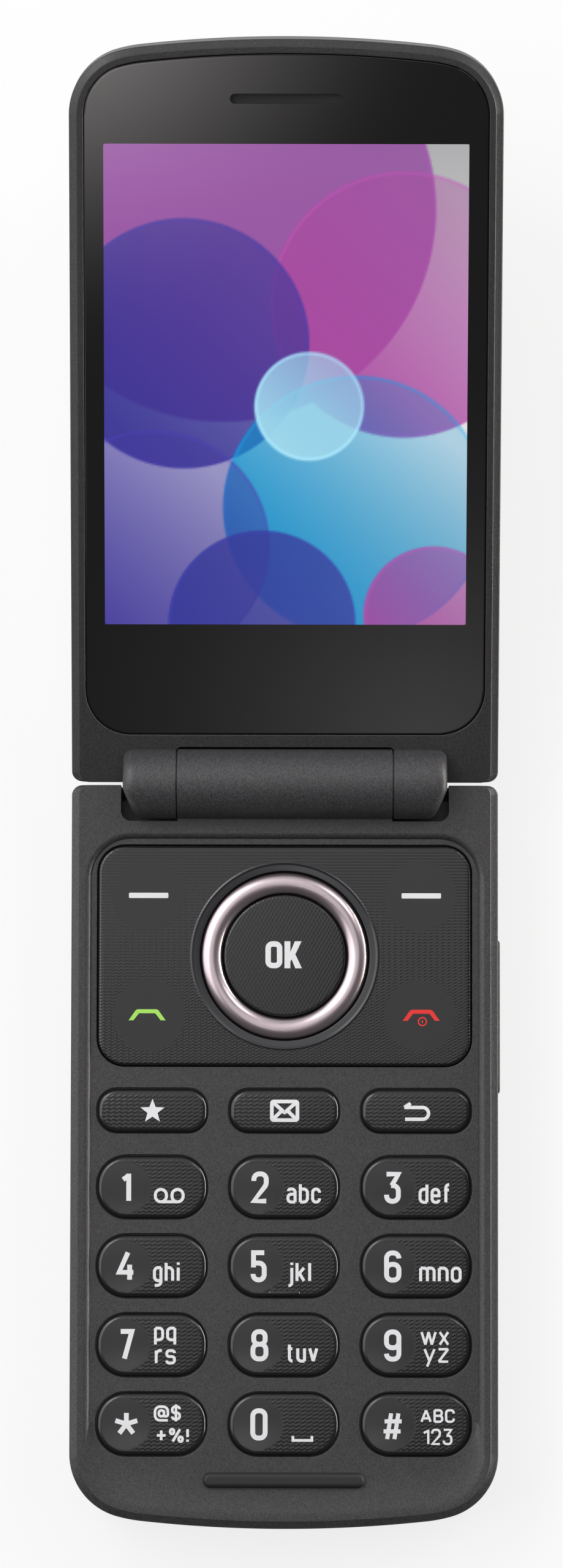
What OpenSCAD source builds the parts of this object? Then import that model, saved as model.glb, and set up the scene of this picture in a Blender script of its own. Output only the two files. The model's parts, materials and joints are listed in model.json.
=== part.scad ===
// Clamshell phone, opened as far as its hinge lets it go and lying on its back.
// X runs across the phone, Y from the keypad towards the display, Z up from the resting face.
// In the names below, v is a distance from the hinge axis along the keypad half, u the same along
// the display half, and d a depth below the display half's inner face.

/* [Body] */
// Width across the sides
body_w = 55; // [52:0.5:60]
// Length of each half, from its hinge end to the middle of its bowed far end
half_len = 95.35; // [92:0.5:104]
// Thickness of the keypad half
base_t = 10.2; // [9.6:0.1:12]
// Thickness of the display half
lid_t = 7.8; // [7.4:0.1:9.5]
// Radius of the bowed far ends
end_r = 200; // [140:10:400]
// Radius of the far corners
corner_r = 9; // [7:0.5:12]
// Radius of the corners beside the hinge
hinge_corner_r = 1.3; // [0.6:0.1:2]
// Wall of the shells
wall = 1.2; // [1:0.1:1.5]
// Bevel round the inner faces
edge_bevel = 1; // [0.5:0.1:1.3]
// Bevel round the outer faces
back_bevel = 1.8; // [1:0.1:2.4]
// Gap between the two halves when the phone is shut
closed_gap = 0.5; // [0.4:0.05:0.8]

/* [Hinge] */
// Angle between the two halves at the open stop
open_angle = 165; // [150:1:175]
// Diameter of the hinge barrel
barrel_d = 9; // [8.4:0.1:9.6]
// Length of the barrel over its two end knuckles
barrel_len = 41.7; // [39:0.1:43]
// Length of each end knuckle
knuckle_len = 6.83; // [6:0.01:8]
// Taper at the outer end of each knuckle
knuckle_taper = 0.9; // [0.4:0.1:1.4]
// Gap between a knuckle and the middle barrel
seam = 0.16; // [0.1:0.01:0.3]
// Gap between the barrel and the shells that it turns in
hinge_fit = 0.3; // [0.2:0.05:0.5]
// Diameter of the steel hinge shaft
shaft_d = 3; // [2.4:0.1:3.6]
// Diameter of the cam cartridge in the barrel
cartridge_d = 6; // [5.2:0.1:6.4]
// Length of the cam cartridge
cartridge_len = 11; // [8:0.1:12]
// Outside diameter of the hollow bush that the flat cable passes through
bush_d = 6; // [5.2:0.1:6.4]
// Bore of the hollow bush
bush_bore = 4.4; // [4:0.1:4.6]
// Length of the bush inside the middle barrel
bush_reach = 8; // [5:0.1:8.2]
// Radial play of turning fits
running_fit = 0.05; // [0.02:0.01:0.1]

/* [Keypad] */
// Width of the raised rim beside the keypad
rim_w = 2.2; // [1.8:0.1:2.8]
// Depth of the keypad floor below the rim
dish_depth = 0.55; // [0.3:0.05:0.8]
// Radius of the floor's corners at the hinge end
dish_r = 5.5; // [3:0.1:8]
// Distance from the barrel to the keypad floor
dish_gap = 2.2; // [1.6:0.1:3]
// Distance from the floor's edge to the keys
field_margin = 1.15; // [0.6:0.05:1.5]
// Gap between columns of keys
key_gap_x = 2.6; // [2:0.1:3.4]
// Gap between rows of number keys
key_gap_y = 1.82; // [1.4:0.01:2.4]
// Gap above and below the row of function keys
row_gap = 2.75; // [2:0.05:3.5]
// Height of the function keys
func_h = 5.86; // [5:0.02:7]
// Corner radius of the function keys' openings
func_r = 2.6; // [1.5:0.1:2.9]
// Corner radius of the number keys' openings
key_r = 3.9; // [2:0.1:4.1]
// Gap round each key
key_clear = 0.13; // [0.1:0.01:0.2]
// Travel of each key
key_travel = 0.3; // [0.2:0.05:0.4]
// Fall of each key's arched top towards its edges
key_crown = 0.28; // [0.1:0.02:0.4]
// Height of the keys above the keypad floor
key_rise = 0.42; // [0.3:0.02:0.6]
// Thickness of the keypad floor
cover_t = 1.1; // [0.8:0.05:1.4]
// Width of the closing bumper
bumper_w = 20.8; // [12:0.1:26]
// Length of the closing bumper
bumper_l = 1.95; // [1.2:0.05:2.4]
// Gap between the last keys and the bumper
bumper_gap = 1.95; // [1.4:0.05:3]
// Gap between the bumper and the end of the keypad floor
bumper_end = 3.05; // [2:0.05:4]
// Height of the bumper above the keypad floor
bumper_rise = 0.85; // [0.6:0.05:0.95]

/* [Navigation] */
// Length of the navigation panel
panel_l = 28.6; // [27:0.1:31]
// Corner radius of the navigation panel
panel_r = 3.6; // [2:0.1:6]
// Height of the panel above the keypad floor
panel_rise = 0.35; // [0.2:0.05:0.45]
// Outside diameter of the four-way ring
ring_d = 21.4; // [19:0.1:23]
// Width of the ring
ring_w = 2.6; // [2.2:0.1:3]
// Height of the ring above the keypad floor
ring_rise = 0.62; // [0.4:0.02:0.7]
// Gap on each side of the ring
ring_gap = 0.25; // [0.2:0.01:0.4]
// Width of the smooth collar round the ring
collar_w = 0.95; // [0.6:0.05:1.4]
// Depth of the collar below the panel's face
collar_depth = 0.15; // [0.1:0.05:0.3]
// Distance of the four soft keys from the middle line
soft_x = 17.5; // [16:0.1:19]
// Distance of the four soft keys from the ring's middle, along the phone
soft_v = 7.68; // [6:0.02:9]
// Room above and below the rocking pads
rock_gap = 0.3; // [0.28:0.01:0.4]

/* [Screen] */
// Margin between the lens and the outline
lens_margin = 1.9; // [1.6:0.1:3]
// Distance from the hinge axis to the lens
lens_u0 = 6.5; // [6.3:0.1:9]
// Radius of the lens corners at the hinge end
lens_r = 7.5; // [3:0.1:10]
// Thickness of the lens
lens_t = 0.9; // [0.7:0.05:1]
// Depth of the lens below the rim
lens_sink = 0.1; // [0.05:0.01:0.15]
// Gap round the lens
lens_fit = 0.08; // [0.04:0.01:0.15]
// Dark border beside the picture
view_side = 2.45; // [2.2:0.05:5]
// Dark border below the picture
view_low = 14.3; // [13:0.1:18]
// Dark border above the picture
view_high = 11.3; // [11:0.1:16]
// Width of the earpiece slot
earpiece_w = 14.25; // [8:0.05:18]
// Height of the earpiece slot
earpiece_h = 1.27; // [0.8:0.01:2]
// Distance from the lens's far edge to the earpiece slot
earpiece_drop = 5.6; // [5:0.1:6.5]
// Width of the outer display's lens
outer_lens_w = 34; // [26:0.5:40]
// Length of the outer display's lens
outer_lens_l = 26; // [20:0.5:34]
// Distance from the hinge axis to the middle of the outer display
outer_lens_u = 47; // [40:0.5:52]
// Diameter of the camera window
camera_d = 8; // [6.5:0.1:9]
// Distance from the hinge axis to the camera
camera_u = 76; // [74:0.5:78]

/* [Side key] */
// Distance from the hinge axis to the middle of the volume key
rocker_v = 29.85; // [28:0.1:34]
// Length of the volume key
rocker_l = 19.9; // [14:0.1:22]
// Height of the volume key
rocker_h = 3; // [2.4:0.05:3.1]
// How far the volume key stands out of the side
rocker_proud = 0.4; // [0.2:0.05:0.6]

/* [Inside the keypad half] */
// Width of the battery
battery_w = 36; // [30:0.5:38]
// Distance from the hinge axis to the battery bay
bay_v0 = 30; // [29:0.5:34]
// Distance from the battery bay to the far end
bay_tail = 14; // [13:0.5:18]
// Wall round the battery bay
bay_wall = 1.6; // [1.4:0.1:2]
// Thickness of the battery door
door_t = 1; // [0.8:0.05:1.2]
// Overlap of the battery door on its ledge
door_ledge = 1.1; // [0.8:0.05:1.2]
// Roof of the battery bay, which carries the circuit board
bay_roof = 0.6; // [0.5:0.05:0.8]
// Thickness of the circuit boards
board_t = 0.8; // [0.6:0.05:1]
// Height of the snap domes
dome_h = 0.3; // [0.2:0.02:0.4]
// Radius of the snap domes
dome_r = 1.6; // [1.2:0.05:1.9]
// Thickness of the rubber keypad mat
mat_t = 0.35; // [0.25:0.05:0.5]
// Loudspeaker, across, along and thick
speaker_size = [15, 12, 3]; // [2:0.5:16]
// Diameter of the coin-shaped vibration motor
motor_d = 10; // [8:0.5:11]
// Thickness of the vibration motor
motor_t = 2.8; // [2:0.1:3]
// Charging socket, across, along and high
socket_size = [7.8, 6.6, 3]; // [2.8:0.1:8]
// Wall of the charging socket
socket_wall = 0.4; // [0.3:0.05:0.5]
// Microphone diameter
mic_d = 4; // [3:0.1:5]
// Microphone thickness
mic_t = 1.5; // [1:0.1:2]
// Antenna carrier, across, along and thick
antenna_size = [8, 5.4, 4]; // [3:0.2:9]
// Shield can, across, along and high
shield_size = [17, 16, 1.4]; // [1:0.2:18]
// Sheet of the shield can
shield_sheet = 0.2; // [0.15:0.05:0.3]
// Battery contact block, across, along and high
contact_size = [9, 3.4, 2.6]; // [2:0.2:10]

/* [Inside the display half] */
// Thickness of the inner frame, measured from the rim
frame_t = 4.3; // [4.1:0.1:5]
// Shelf that the lens is bonded to
shelf_t = 0.7; // [0.5:0.05:0.8]
// Thickness of the main display
display_t = 2; // [1.6:0.05:2.1]
// Border of the display module beside its picture
display_side = 1.1; // [0.6:0.1:1.2]
// Border of the display module towards the hinge
display_low = 3.2; // [2:0.1:3.6]
// Border of the display module towards the far end
display_high = 1.8; // [1:0.1:1.9]
// Thickness of the metal plate behind the display
plate_t = 0.35; // [0.25:0.05:0.4]
// Earpiece speaker, across, along and thick
ear_speaker = [15, 4.4, 2]; // [1:0.2:16]
// Camera module, across, along and thick
camera_size = [9, 9, 1.3]; // [1:0.1:10]
// Thickness of the outer lenses
outer_lens_t = 0.55; // [0.4:0.05:0.6]
// Magnet for the lid sensor, across, along and thick
magnet_size = [5, 2.4, 1.3]; // [1:0.1:6]

/* [Fasteners] */
// Diameter of the screw shanks
screw_d = 1.4; // [1.2:0.1:1.6]
// Diameter of the screw heads
head_d = 2.4; // [2.1:0.1:2.6]
// Height of the screw heads
head_h = 0.7; // [0.5:0.05:0.8]
// Diameter of the screw bosses
boss_d = 4; // [3.6:0.1:4.4]

/* [Hidden] */
$fn = 64;
crown_fn = 360;
cut = 0.5;       // reach of a cutter past the face it opens
skin = 0.01;     // thin slab that a bevel starts from
bond = 0.05;     // adhesive or assembly gap between two seated pieces
fit = 0.1;       // assembly gap round a piece in its pocket
thread_fit = 0.02;
small_r = 0.3;   // least radius of a shrunken corner
round_end = 0.48; // radius of a rounded end as a share of its width
part_r = 1;      // corner radius of small inner parts
part_room = 1;   // room beside small inner parts
end_steps = 12;
corner_steps = 10;
near_steps = 4;

hinge_gap = closed_gap / 2;
reach = half_len + hinge_gap;
hinge_y = half_len / 2 + hinge_gap;
hinge_z = base_t + closed_gap / 2;
lid_tilt = 180 - open_angle;

barrel_half = barrel_len / 2 - knuckle_len - seam;
notch_half = barrel_len / 2 + hinge_fit;
turn_d = barrel_d + 2 * hinge_fit;
cavity_0 = turn_d / 2 + wall;      // start of the hollow in both halves
cavity_r = 1;

floor_z = base_t - dish_depth;
cover_under = floor_z - cover_t;
crown_step = 0.05;                 // the two arches of a key's top stand this far apart
key_flange_t = 0.5;
key_flange_w = 0.32;
key_z0 = cover_under - fit - key_flange_t;
mat_z1 = key_z0 - key_travel - bond;
mat_z0 = mat_z1 - mat_t;
board_z1 = mat_z0 - bond - dome_h;
split_z = board_z1 - board_t;      // seam of the keypad half, and seat of the circuit board
bay_top = split_z - bay_roof;
battery_z0 = door_t + fit;
battery_t = bay_top - fit - battery_z0;
battery_l = reach - bay_tail - bay_v0 - 2 * fit;

dish_v0 = barrel_d / 2 + dish_gap;
field_w = body_w - 2 * (rim_w + field_margin);
panel_v0 = dish_v0 + field_margin;
panel_v = panel_v0 + panel_l / 2;
func_v = panel_v0 + panel_l + row_gap + func_h / 2;
keys_v0 = func_v + func_h / 2 + row_gap;
bumper_v = reach - rim_w - bumper_end - bumper_l / 2;
keys_v1 = bumper_v - bumper_l / 2 - bumper_gap;
key_step = 0.02;                   // key sizes are whole steps
key_w = key_step * floor((field_w - 2 * key_gap_x) / 3 / key_step);
key_h = key_step * floor((keys_v1 - keys_v0 - 3 * key_gap_y) / 4 / key_step);
key_edge_r = min(key_r, key_h / 2 - fit);
func_edge_r = min(func_r, func_h / 2 - fit);
mat_lead = 2.2;                    // the rubber mat starts this far below the panel's end
mat_over = 0.8;
mat_v0 = panel_v0 + mat_lead;
mat_v1 = keys_v1 + mat_over;

ring_mid_r = ring_d / 2 - ring_w / 2;
ring_hole_r = ring_d / 2 + ring_gap;
ring_bore_r = ring_d / 2 - ring_w;
ok_r = ring_bore_r - ring_gap;
pad_z0 = mat_z1 + rock_gap;
pad_t = 0.45;
pad_play = 0.4;                    // gap between the pads and what they surround
panel_pad_w = 1.7;
pad_rib_r = rock_gap - bond;       // half-round ribs that a pad, and what lies on it, rocks on
ok_flange_t = 0.35;
ok_flange_w = 0.5;
panel_z0 = pad_z0 + pad_t + rock_gap;
panel_z1 = floor_z + panel_rise;
ring_z1 = floor_z + ring_rise;

rocker_z1 = split_z - 2.5 * fit;
rocker_z0 = rocker_z1 - rocker_h;
rocker_room = 0.35;
rocker_flange_t = 0.5;
rocker_lip = 0.4;
rocker_rib_r = rocker_room - bond; // half-round rib that the volume key rocks on
rocker_x1 = body_w / 2 - wall - rocker_room;
rocker_x0 = rocker_x1 - rocker_flange_t;
rocker_flange_z0 = max(rocker_z0, wall + back_bevel) + fit;
contact_lift = 0.6;
contact_z = battery_z0 + contact_lift;
door_r = 2;
dome_top = 0.6;                    // top of a snap dome as a share of its foot

socket_z = split_z - socket_size[2];
socket_sink = 0.6;
socket_v = reach - socket_sink - socket_size[1];
screw_end = 5.4;
base_screws_at = [
  for (s = [-1, 1]) [s * (notch_half + body_w / 2) / 2, (hinge_gap + cavity_0) / 2 + hinge_fit],
  for (s = [-1, 1]) [s * (body_w / 2 - corner_r), reach - screw_end]
];
screw_seat = 1.7;

lens_u1 = reach - lens_margin;
shelf_d = lens_sink + lens_t + bond;
frame_under = shelf_d + shelf_t;
view_w = body_w - 2 * (lens_margin + view_side);
view_u0 = lens_u0 + view_low;
view_u1 = lens_u1 - view_high;
display_d = frame_under + bond;
plate_d = display_d + display_t + bond;
lid_board_d = max(frame_t, plate_d + plate_t) + bond;
lid_board_t = 0.7;
lid_roof_d = lid_t - wall;         // inside of the outer wall
outer_display_d = lid_board_d + lid_board_t + bond;
ear_u = lens_u1 - earpiece_drop;

bush_end = 1.4;                    // from the knuckle's outer end to the bush
bush_rim = 0.8;                    // from the bush's end to the cable's way out
bush_x0 = bush_end - barrel_len / 2;
bush_x1 = -barrel_half + bush_reach;
cable_w = 3.2;
cable_t = 0.16;
cable_x = bush_x1 + cable_w / 2 + 3 * fit;
cable_land = board_z1 + 2 * fit;
lid_cable_x = bush_x0 + bush_rim + cable_w / 2;
lid_cable_d = bush_bore / 2 - hinge_gap - fit;
roll_t = 0.3;                      // wall of the rolled cable, and its gap inside the bush

lid_screw_in = 6;
lid_screw_side = 7.5;
cable_play = 0.4;                  // gap between the lid's cable and the screw boss beside it
lid_screw_x = cable_w / 2 - lid_cable_x + cable_play + boss_d / 2;
lid_screws_at = [
  for (s = [-1, 1]) [s * lid_screw_x, lens_u0 + lid_screw_in],
  for (s = [-1, 1]) [s * (body_w / 2 - lid_screw_side), lens_u1 - lid_screw_in]
];
board_lead = 2;
lid_board_u0 = view_u0 - display_low - board_lead;
outer_lens_r = 4;
outer_ledge = 3;                   // width of the ledge that the outer lens is bonded to
outer_border = 2;                  // the outer display stays this far inside its lens
camera_ledge = 1.5;

KEY_NAMES = [
  "key_favourites", "key_message", "key_back", "key_1", "key_2", "key_3", "key_4", "key_5",
  "key_6", "key_7", "key_8", "key_9", "key_star", "key_0", "key_hash"
];

case_colour = "#3c3b3e";
key_colour = "#34343a";
steel = "#a9abad";
board_colour = "#2e5a3c";
rubber = "#232325";
amber = "#b5782c";

// Points of an arc about c, from angle a0 to a1
function arc(c, r, a0, a1, n) =
  [for (i = [0:n]) c + r * [cos(a0 + (a1 - a0) * i / n), sin(a0 + (a1 - a0) * i / n)]];

// Outline of one half, set in from its sides and far end, from the distance near onwards
function half_points(inset, near, near_r) =
  let (
    hw = body_w / 2 - inset,
    far_r = max(corner_r - inset, cavity_r),
    big = end_r - inset,
    mid = reach - end_r,
    cx = hw - far_r,
    cy = mid + sqrt(pow(big - far_r, 2) - pow(cx, 2)),
    turn = atan2(cy - mid, cx),
    bow = arc([0, mid], big, turn, 180 - turn, end_steps)
  )
  concat(
    arc([hw - near_r, near + near_r], near_r, -90, 0, near_steps),
    arc([cx, cy], far_r, 0, turn, corner_steps),
    [for (i = [1:end_steps - 1]) bow[i]],
    arc([-cx, cy], far_r, 180 - turn, 180, corner_steps),
    arc([-hw + near_r, near + near_r], near_r, 180, 270, near_steps)
  );

// Places for the keypad half: an outline turned to run towards -Y, and a point x, v, z
module base_side() translate([0, hinge_y, 0]) rotate([0, 0, 180]) children();
module base_at(x, v, z) translate([x, hinge_y - v, z]) children();

// Place for the display half: x, u and a depth d below its inner face, at the open angle
module lid_at(x, u, d)
  translate([0, hinge_y, hinge_z])
  rotate([lid_tilt, 0, 0])
  translate([x, u, -closed_gap / 2 - d])
  children();

// Half shell, bevelled round its face at height 0
module bevelled_half(height, bevel, inset) {
  near = inset > 0 ? cavity_0 : hinge_gap;
  hull() {
    linear_extrude(skin)
      polygon(half_points(inset + bevel, near + bevel, max(hinge_corner_r - bevel, small_r)));
    translate([0, 0, bevel])
      linear_extrude(height - bevel) polygon(half_points(inset, near, hinge_corner_r));
  }
}

// Round bar on the hinge axis from x0 to x1
module axis_bar(d, x0, x1)
  translate([x0, hinge_y, hinge_z]) rotate([0, 90, 0]) cylinder(d = d, h = x1 - x0);

// Flat plate with round corners, centred
module rounded(w, l, r) {
  square([w - 2 * r, l], center = true);
  square([w, l - 2 * r], center = true);
  for (sx = [-1, 1], sy = [-1, 1])
    translate([sx * (w / 2 - r), sy * (l / 2 - r)]) circle(r);
}

module block(size, r) linear_extrude(size[2]) rounded(size[0], size[1], r);

// Box given by its middle across, its near end along, and its lowest height
module run(size) translate([-size[0] / 2, 0, 0]) cube(size);

// Disc with a shallow domed top
module domed_button(r, z0, z1, crown) {
  sphere_r = (r * r + crown * crown) / (2 * crown);
  rotate_extrude() intersection() {
    translate([0, z0]) square([r, z1 - z0]);
    translate([0, z1 - sphere_r]) circle(sphere_r, $fn = 4 * crown_fn);
  }
}

module screw(length) {
  translate([0, 0, -head_h]) cylinder(d = head_d, h = head_h);
  cylinder(d = screw_d, h = length);
}

// Keypad half: shells

module rear_case() {
  color(case_colour)
  difference() {
    base_side() bevelled_half(split_z, back_bevel, 0);
    difference() {
      base_side() translate([0, 0, wall]) bevelled_half(split_z, back_bevel, wall);
      bay_block(bay_wall, split_z);
      for (p = base_screws_at) base_at(p[0], p[1], 0) cylinder(d = boss_d, h = split_z);
    }
    bay_block(0, bay_top);
    door_plate(door_ledge + fit, door_t);
    contact_window();
    axis_bar(turn_d, -notch_half, notch_half);
    rocker_slot();
    socket_port();
    speaker_slots();
    base_at(-mic_x, reach - mic_v, split_z / 2) rotate([90, 0, 0])
      cylinder(d = mic_hole_d, h = 2 * mic_v, center = true);
    for (p = base_screws_at) base_at(p[0], p[1], 0) {
      translate([0, 0, -cut]) cylinder(d = head_d + 2 * fit, h = screw_seat + cut);
      cylinder(d = screw_d + 2 * thread_fit, h = split_z + cut);
    }
  }
}

// Plain block over the battery, grown sideways, from below the resting face up to a height
module bay_block(grow, top)
  base_at(0, bay_v0 + battery_l / 2 + fit, -cut)
  linear_extrude(top + cut)
  square([battery_w + 2 * (fit + grow), battery_l + 2 * (fit + grow)], center = true);

module door_plate(grow, t)
  base_at(0, bay_v0 + battery_l / 2 + fit, -cut)
  linear_extrude(t + cut)
  rounded(battery_w + 2 * (fit + grow), battery_l + 2 * (fit + grow), door_r);

module contact_window()
  base_at(0, bay_v0 + cut, contact_z - fit)
  run([contact_size[0] + 2 * fit, bay_wall + 2 * cut, contact_size[2] + 2 * fit]);

module rocker_slot()
  base_at(body_w / 2 - wall - cut, rocker_v, rocker_z0 - 2 * fit)
  translate([0, -rocker_l / 2 - 2 * fit, 0])
  cube([wall + 2 * cut, rocker_l + 4 * fit, split_z - rocker_z0 + 2 * fit + cut]);

module socket_port()
  base_at(0, reach + cut, socket_z - fit)
  run([socket_size[0] + 2 * fit, wall + 2 * back_bevel + cut, socket_size[2] + fit + cut]);

speaker_x = -13;
speaker_v = cavity_0 + back_bevel + part_room + speaker_size[1] / 2;
slot_count = 5;
slot_pitch = 2.2;
slot_w = 1;
slot_l = 0.6 * speaker_size[1];
module speaker_slots()
  for (i = [0:slot_count - 1])
    base_at(speaker_x + (i - (slot_count - 1) / 2) * slot_pitch, speaker_v, -cut)
      linear_extrude(wall + 2 * cut) rounded(slot_w, slot_l, slot_w * round_end);

mic_x = 11;
mic_v = 4.6;
mic_hole_d = 0.8;

module front_cover() {
  color(case_colour)
  difference() {
    union() {
      difference() {
        base_side() translate([0, 0, base_t]) mirror([0, 0, 1])
          bevelled_half(base_t - split_z, edge_bevel, 0);
        base_side() translate([0, 0, split_z - cut]) linear_extrude(cover_under - split_z + cut)
          polygon(half_points(wall, cavity_0, cavity_r));
        base_side() translate([0, 0, floor_z]) linear_extrude(dish_depth + cut)
          polygon(half_points(rim_w, dish_v0, dish_r));
        for (s = [-1, 1])
          axis_bar(turn_d, s > 0 ? barrel_half : -notch_half, s > 0 ? notch_half : -barrel_half);
        keypad_openings();
      }
      axis_bar(barrel_d, -barrel_half, barrel_half);
      for (i = [2, 3]) base_at(base_screws_at[i][0], base_screws_at[i][1], split_z)
        cylinder(d = boss_d, h = cover_under - split_z + skin);
    }
    axis_bar(cartridge_d + 2 * thread_fit, barrel_half - cartridge_len, barrel_half + cut);
    axis_bar(bush_d + 2 * running_fit, -barrel_half - cut, -barrel_half + bush_reach + 2 * fit);
    axis_bar(bush_bore, -barrel_half, barrel_half - cartridge_len - wall);
    base_cable_slot();
    for (p = base_screws_at) base_at(p[0], p[1], split_z - cut)
      cylinder(d = screw_d + 2 * thread_fit, h = floor_z - split_z);
  }
}

// Way of the flat cable down from the middle barrel and out above the circuit board
module base_cable_slot() {
  width = cable_w + 4 * fit;
  base_at(cable_x, cut, cable_land - fit) run([width, 2 * cut, hinge_z - cable_land]);
  base_at(cable_x, cavity_0 + cut, cable_land - fit) run([width, cavity_0 + cut, cable_t + 2 * fit]);
}

// Openings of the keypad floor for the keys, the navigation panel and the bumper
module keypad_openings() {
  for (i = [0:len(KEY_NAMES) - 1])
    key_place(i) translate([0, 0, cover_under - cut])
      linear_extrude(cover_t + 2 * cut) key_plan(i, 0);
  base_at(0, panel_v, cover_under - cut)
    linear_extrude(cover_t + 2 * cut) rounded(field_w, panel_l, panel_r);
  base_at(0, bumper_v, floor_z - cover_t / 2)
    block([bumper_w, bumper_l, cover_t], bumper_l * round_end);
}

// Keys, counted from the function row on the left

function key_col(i) = i % 3 - 1;
function key_row(i) = floor(i / 3);
function key_len(i) = key_row(i) == 0 ? func_h : key_h;

module key_place(i)
  base_at(
    key_col(i) * (key_w + key_gap_x),
    key_row(i) == 0 ? func_v : keys_v0 + key_h / 2 + (key_row(i) - 1) * (key_h + key_gap_y),
    0
  )
  children();

function key_round(i, grow) = max((key_row(i) == 0 ? func_edge_r : key_edge_r) + grow, small_r);

module key_plan(i, grow)
  rounded(key_w + 2 * grow, key_len(i) + 2 * grow, key_round(i, grow));

// Pillow-topped cap, arched across and along, on a flange that the keypad floor holds down
module key(i) {
  top = floor_z + key_rise;
  color(key_colour)
  key_place(i) {
    intersection() {
      translate([0, 0, key_z0 + key_flange_t / 2])
        linear_extrude(top - key_z0 - key_flange_t / 2) key_plan(i, -key_clear);
      translate([0, 0, top]) rotate([0, 0, 90]) arch(key_w / 2 - key_clear, 2 * crown_fn);
      translate([0, 0, top + crown_step]) arch(key_len(i) / 2 - key_clear, crown_fn);
    }
    translate([0, 0, key_z0]) linear_extrude(key_flange_t) key_plan(i, key_flange_w);
  }
}

// Long round bar along X whose top, at height 0, falls by key_crown at a distance half beside it
module arch(half, steps) {
  r = (half * half + key_crown * key_crown) / (2 * key_crown);
  translate([0, 0, -r]) rotate([0, 90, 0])
    cylinder(r = r, h = 2 * key_w, center = true, $fn = steps);
}

module closing_bumper() {
  color(rubber)
  base_at(0, bumper_v, floor_z - cover_t / 2)
    block([bumper_w - 2 * thread_fit, bumper_l - 2 * thread_fit, cover_t / 2 + bumper_rise],
      bumper_l * round_end - thread_fit);
}

// Navigation group

module nav_panel() {
  color(key_colour)
  base_at(0, panel_v, 0) difference() {
    translate([0, 0, panel_z0])
      block([field_w - 2 * key_clear, panel_l - 2 * key_clear, panel_z1 - panel_z0],
        panel_r - key_clear);
    translate([0, 0, panel_z1 - collar_depth]) cylinder(r = ring_hole_r + collar_w, h = cut);
    translate([0, 0, panel_z0 - cut]) cylinder(r = ring_hole_r, h = base_t);
  }
}

// Washer that rocks lengthwise on the ribs below it, and carries ribs for sideways rocking
module pad(r0, r1) {
  color(rubber)
  base_at(0, panel_v, pad_z0) difference() {
    union() {
      cylinder(r = r1, h = pad_t);
      intersection() {
        translate([0, 0, -pad_rib_r]) cylinder(r = r1, h = pad_t + 2 * pad_rib_r);
        union() {
          rotate([0, 90, 0]) cylinder(r = pad_rib_r, h = 3 * r1, center = true);
          translate([0, 0, pad_t]) rotate([90, 0, 0])
            cylinder(r = pad_rib_r, h = 3 * r1, center = true);
        }
      }
    }
    translate([0, 0, -cut]) cylinder(r = r0, h = pad_t + 2 * cut);
  }
}

module nav_panel_pad() pad(ring_hole_r + pad_play, ring_hole_r + pad_play + panel_pad_w);

module nav_ring_pad() pad(ring_bore_r + ok_flange_w + pad_play, ring_d / 2 - fit);

module nav_ring() {
  bend_z = ring_z1 - ring_w / 2;
  color("#a08f94")
  base_at(0, panel_v, 0) rotate_extrude() translate([ring_mid_r, 0]) {
    intersection() {
      translate([0, bend_z]) circle(ring_w / 2);
      translate([-ring_w / 2, panel_z0]) square(ring_w);
    }
    translate([-ring_w / 2, panel_z0]) square([ring_w, bend_z - panel_z0]);
  }
}

module ok_button() {
  color(key_colour)
  base_at(0, panel_v, 0) {
    domed_button(ok_r, key_z0, floor_z + key_rise, key_crown / 2);
    translate([0, 0, key_z0]) cylinder(r = ring_bore_r + ok_flange_w, h = ok_flange_t);
  }
}

// Side key

module volume_key() {
  color(case_colour)
  base_at(0, rocker_v, 0) {
    translate([rocker_x1 - skin, -rocker_l / 2, rocker_z0])
      cube([body_w / 2 + rocker_proud - rocker_x1 + skin, rocker_l, rocker_h]);
    translate([rocker_x0, -rocker_l / 2 - rocker_lip, rocker_flange_z0])
      cube([rocker_flange_t, rocker_l + 2 * rocker_lip, rocker_z1 + fit - rocker_flange_z0]);
    translate([rocker_x0, 0, rocker_flange_z0])
      cylinder(r = rocker_rib_r, h = rocker_z1 + fit - rocker_flange_z0);
  }
}

module side_switch() {
  depth = 1;
  color(steel)
  base_at(rocker_x0 - rocker_room - depth, rocker_v, rocker_flange_z0)
    translate([0, -rocker_l / 3, 0]) cube([depth, rocker_l * 2 / 3, split_z - rocker_flange_z0]);
}

// Inside the keypad half

module battery_door() {
  color(case_colour)
  intersection() {
    door_plate(door_ledge, door_t);
    base_at(0, 0, 0) translate([-body_w, -2 * reach, 0]) cube([2 * body_w, 2 * reach, door_t]);
  }
}

module battery() {
  color("#8b8d91")
  base_at(0, bay_v0 + battery_l / 2 + fit, battery_z0) block([battery_w, battery_l, battery_t], part_r);
}

module battery_contacts() {
  color(amber)
  base_at(0, bay_v0 + fit / 2, contact_z) run(contact_size);
}

module main_board() {
  color(board_colour)
  difference() {
    base_side() translate([0, 0, split_z]) linear_extrude(board_t)
      polygon(half_points(wall + 4 * fit, cavity_0 + 4 * fit, cavity_r));
    for (i = [2, 3]) base_at(base_screws_at[i][0], base_screws_at[i][1], split_z - cut)
      cylinder(d = boss_d + 4 * fit, h = board_t + 2 * cut);
  }
}

shield_x = 12;
module shield_can() {
  color(steel)
  base_at(shield_x, cavity_0 + 2 * part_room + shield_size[1], split_z - shield_size[2]) difference() {
    run(shield_size);
    translate([0, shield_sheet, shield_sheet])
      run([shield_size[0] - 2 * shield_sheet, shield_size[1] - 2 * shield_sheet, shield_size[2]]);
  }
}

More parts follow.
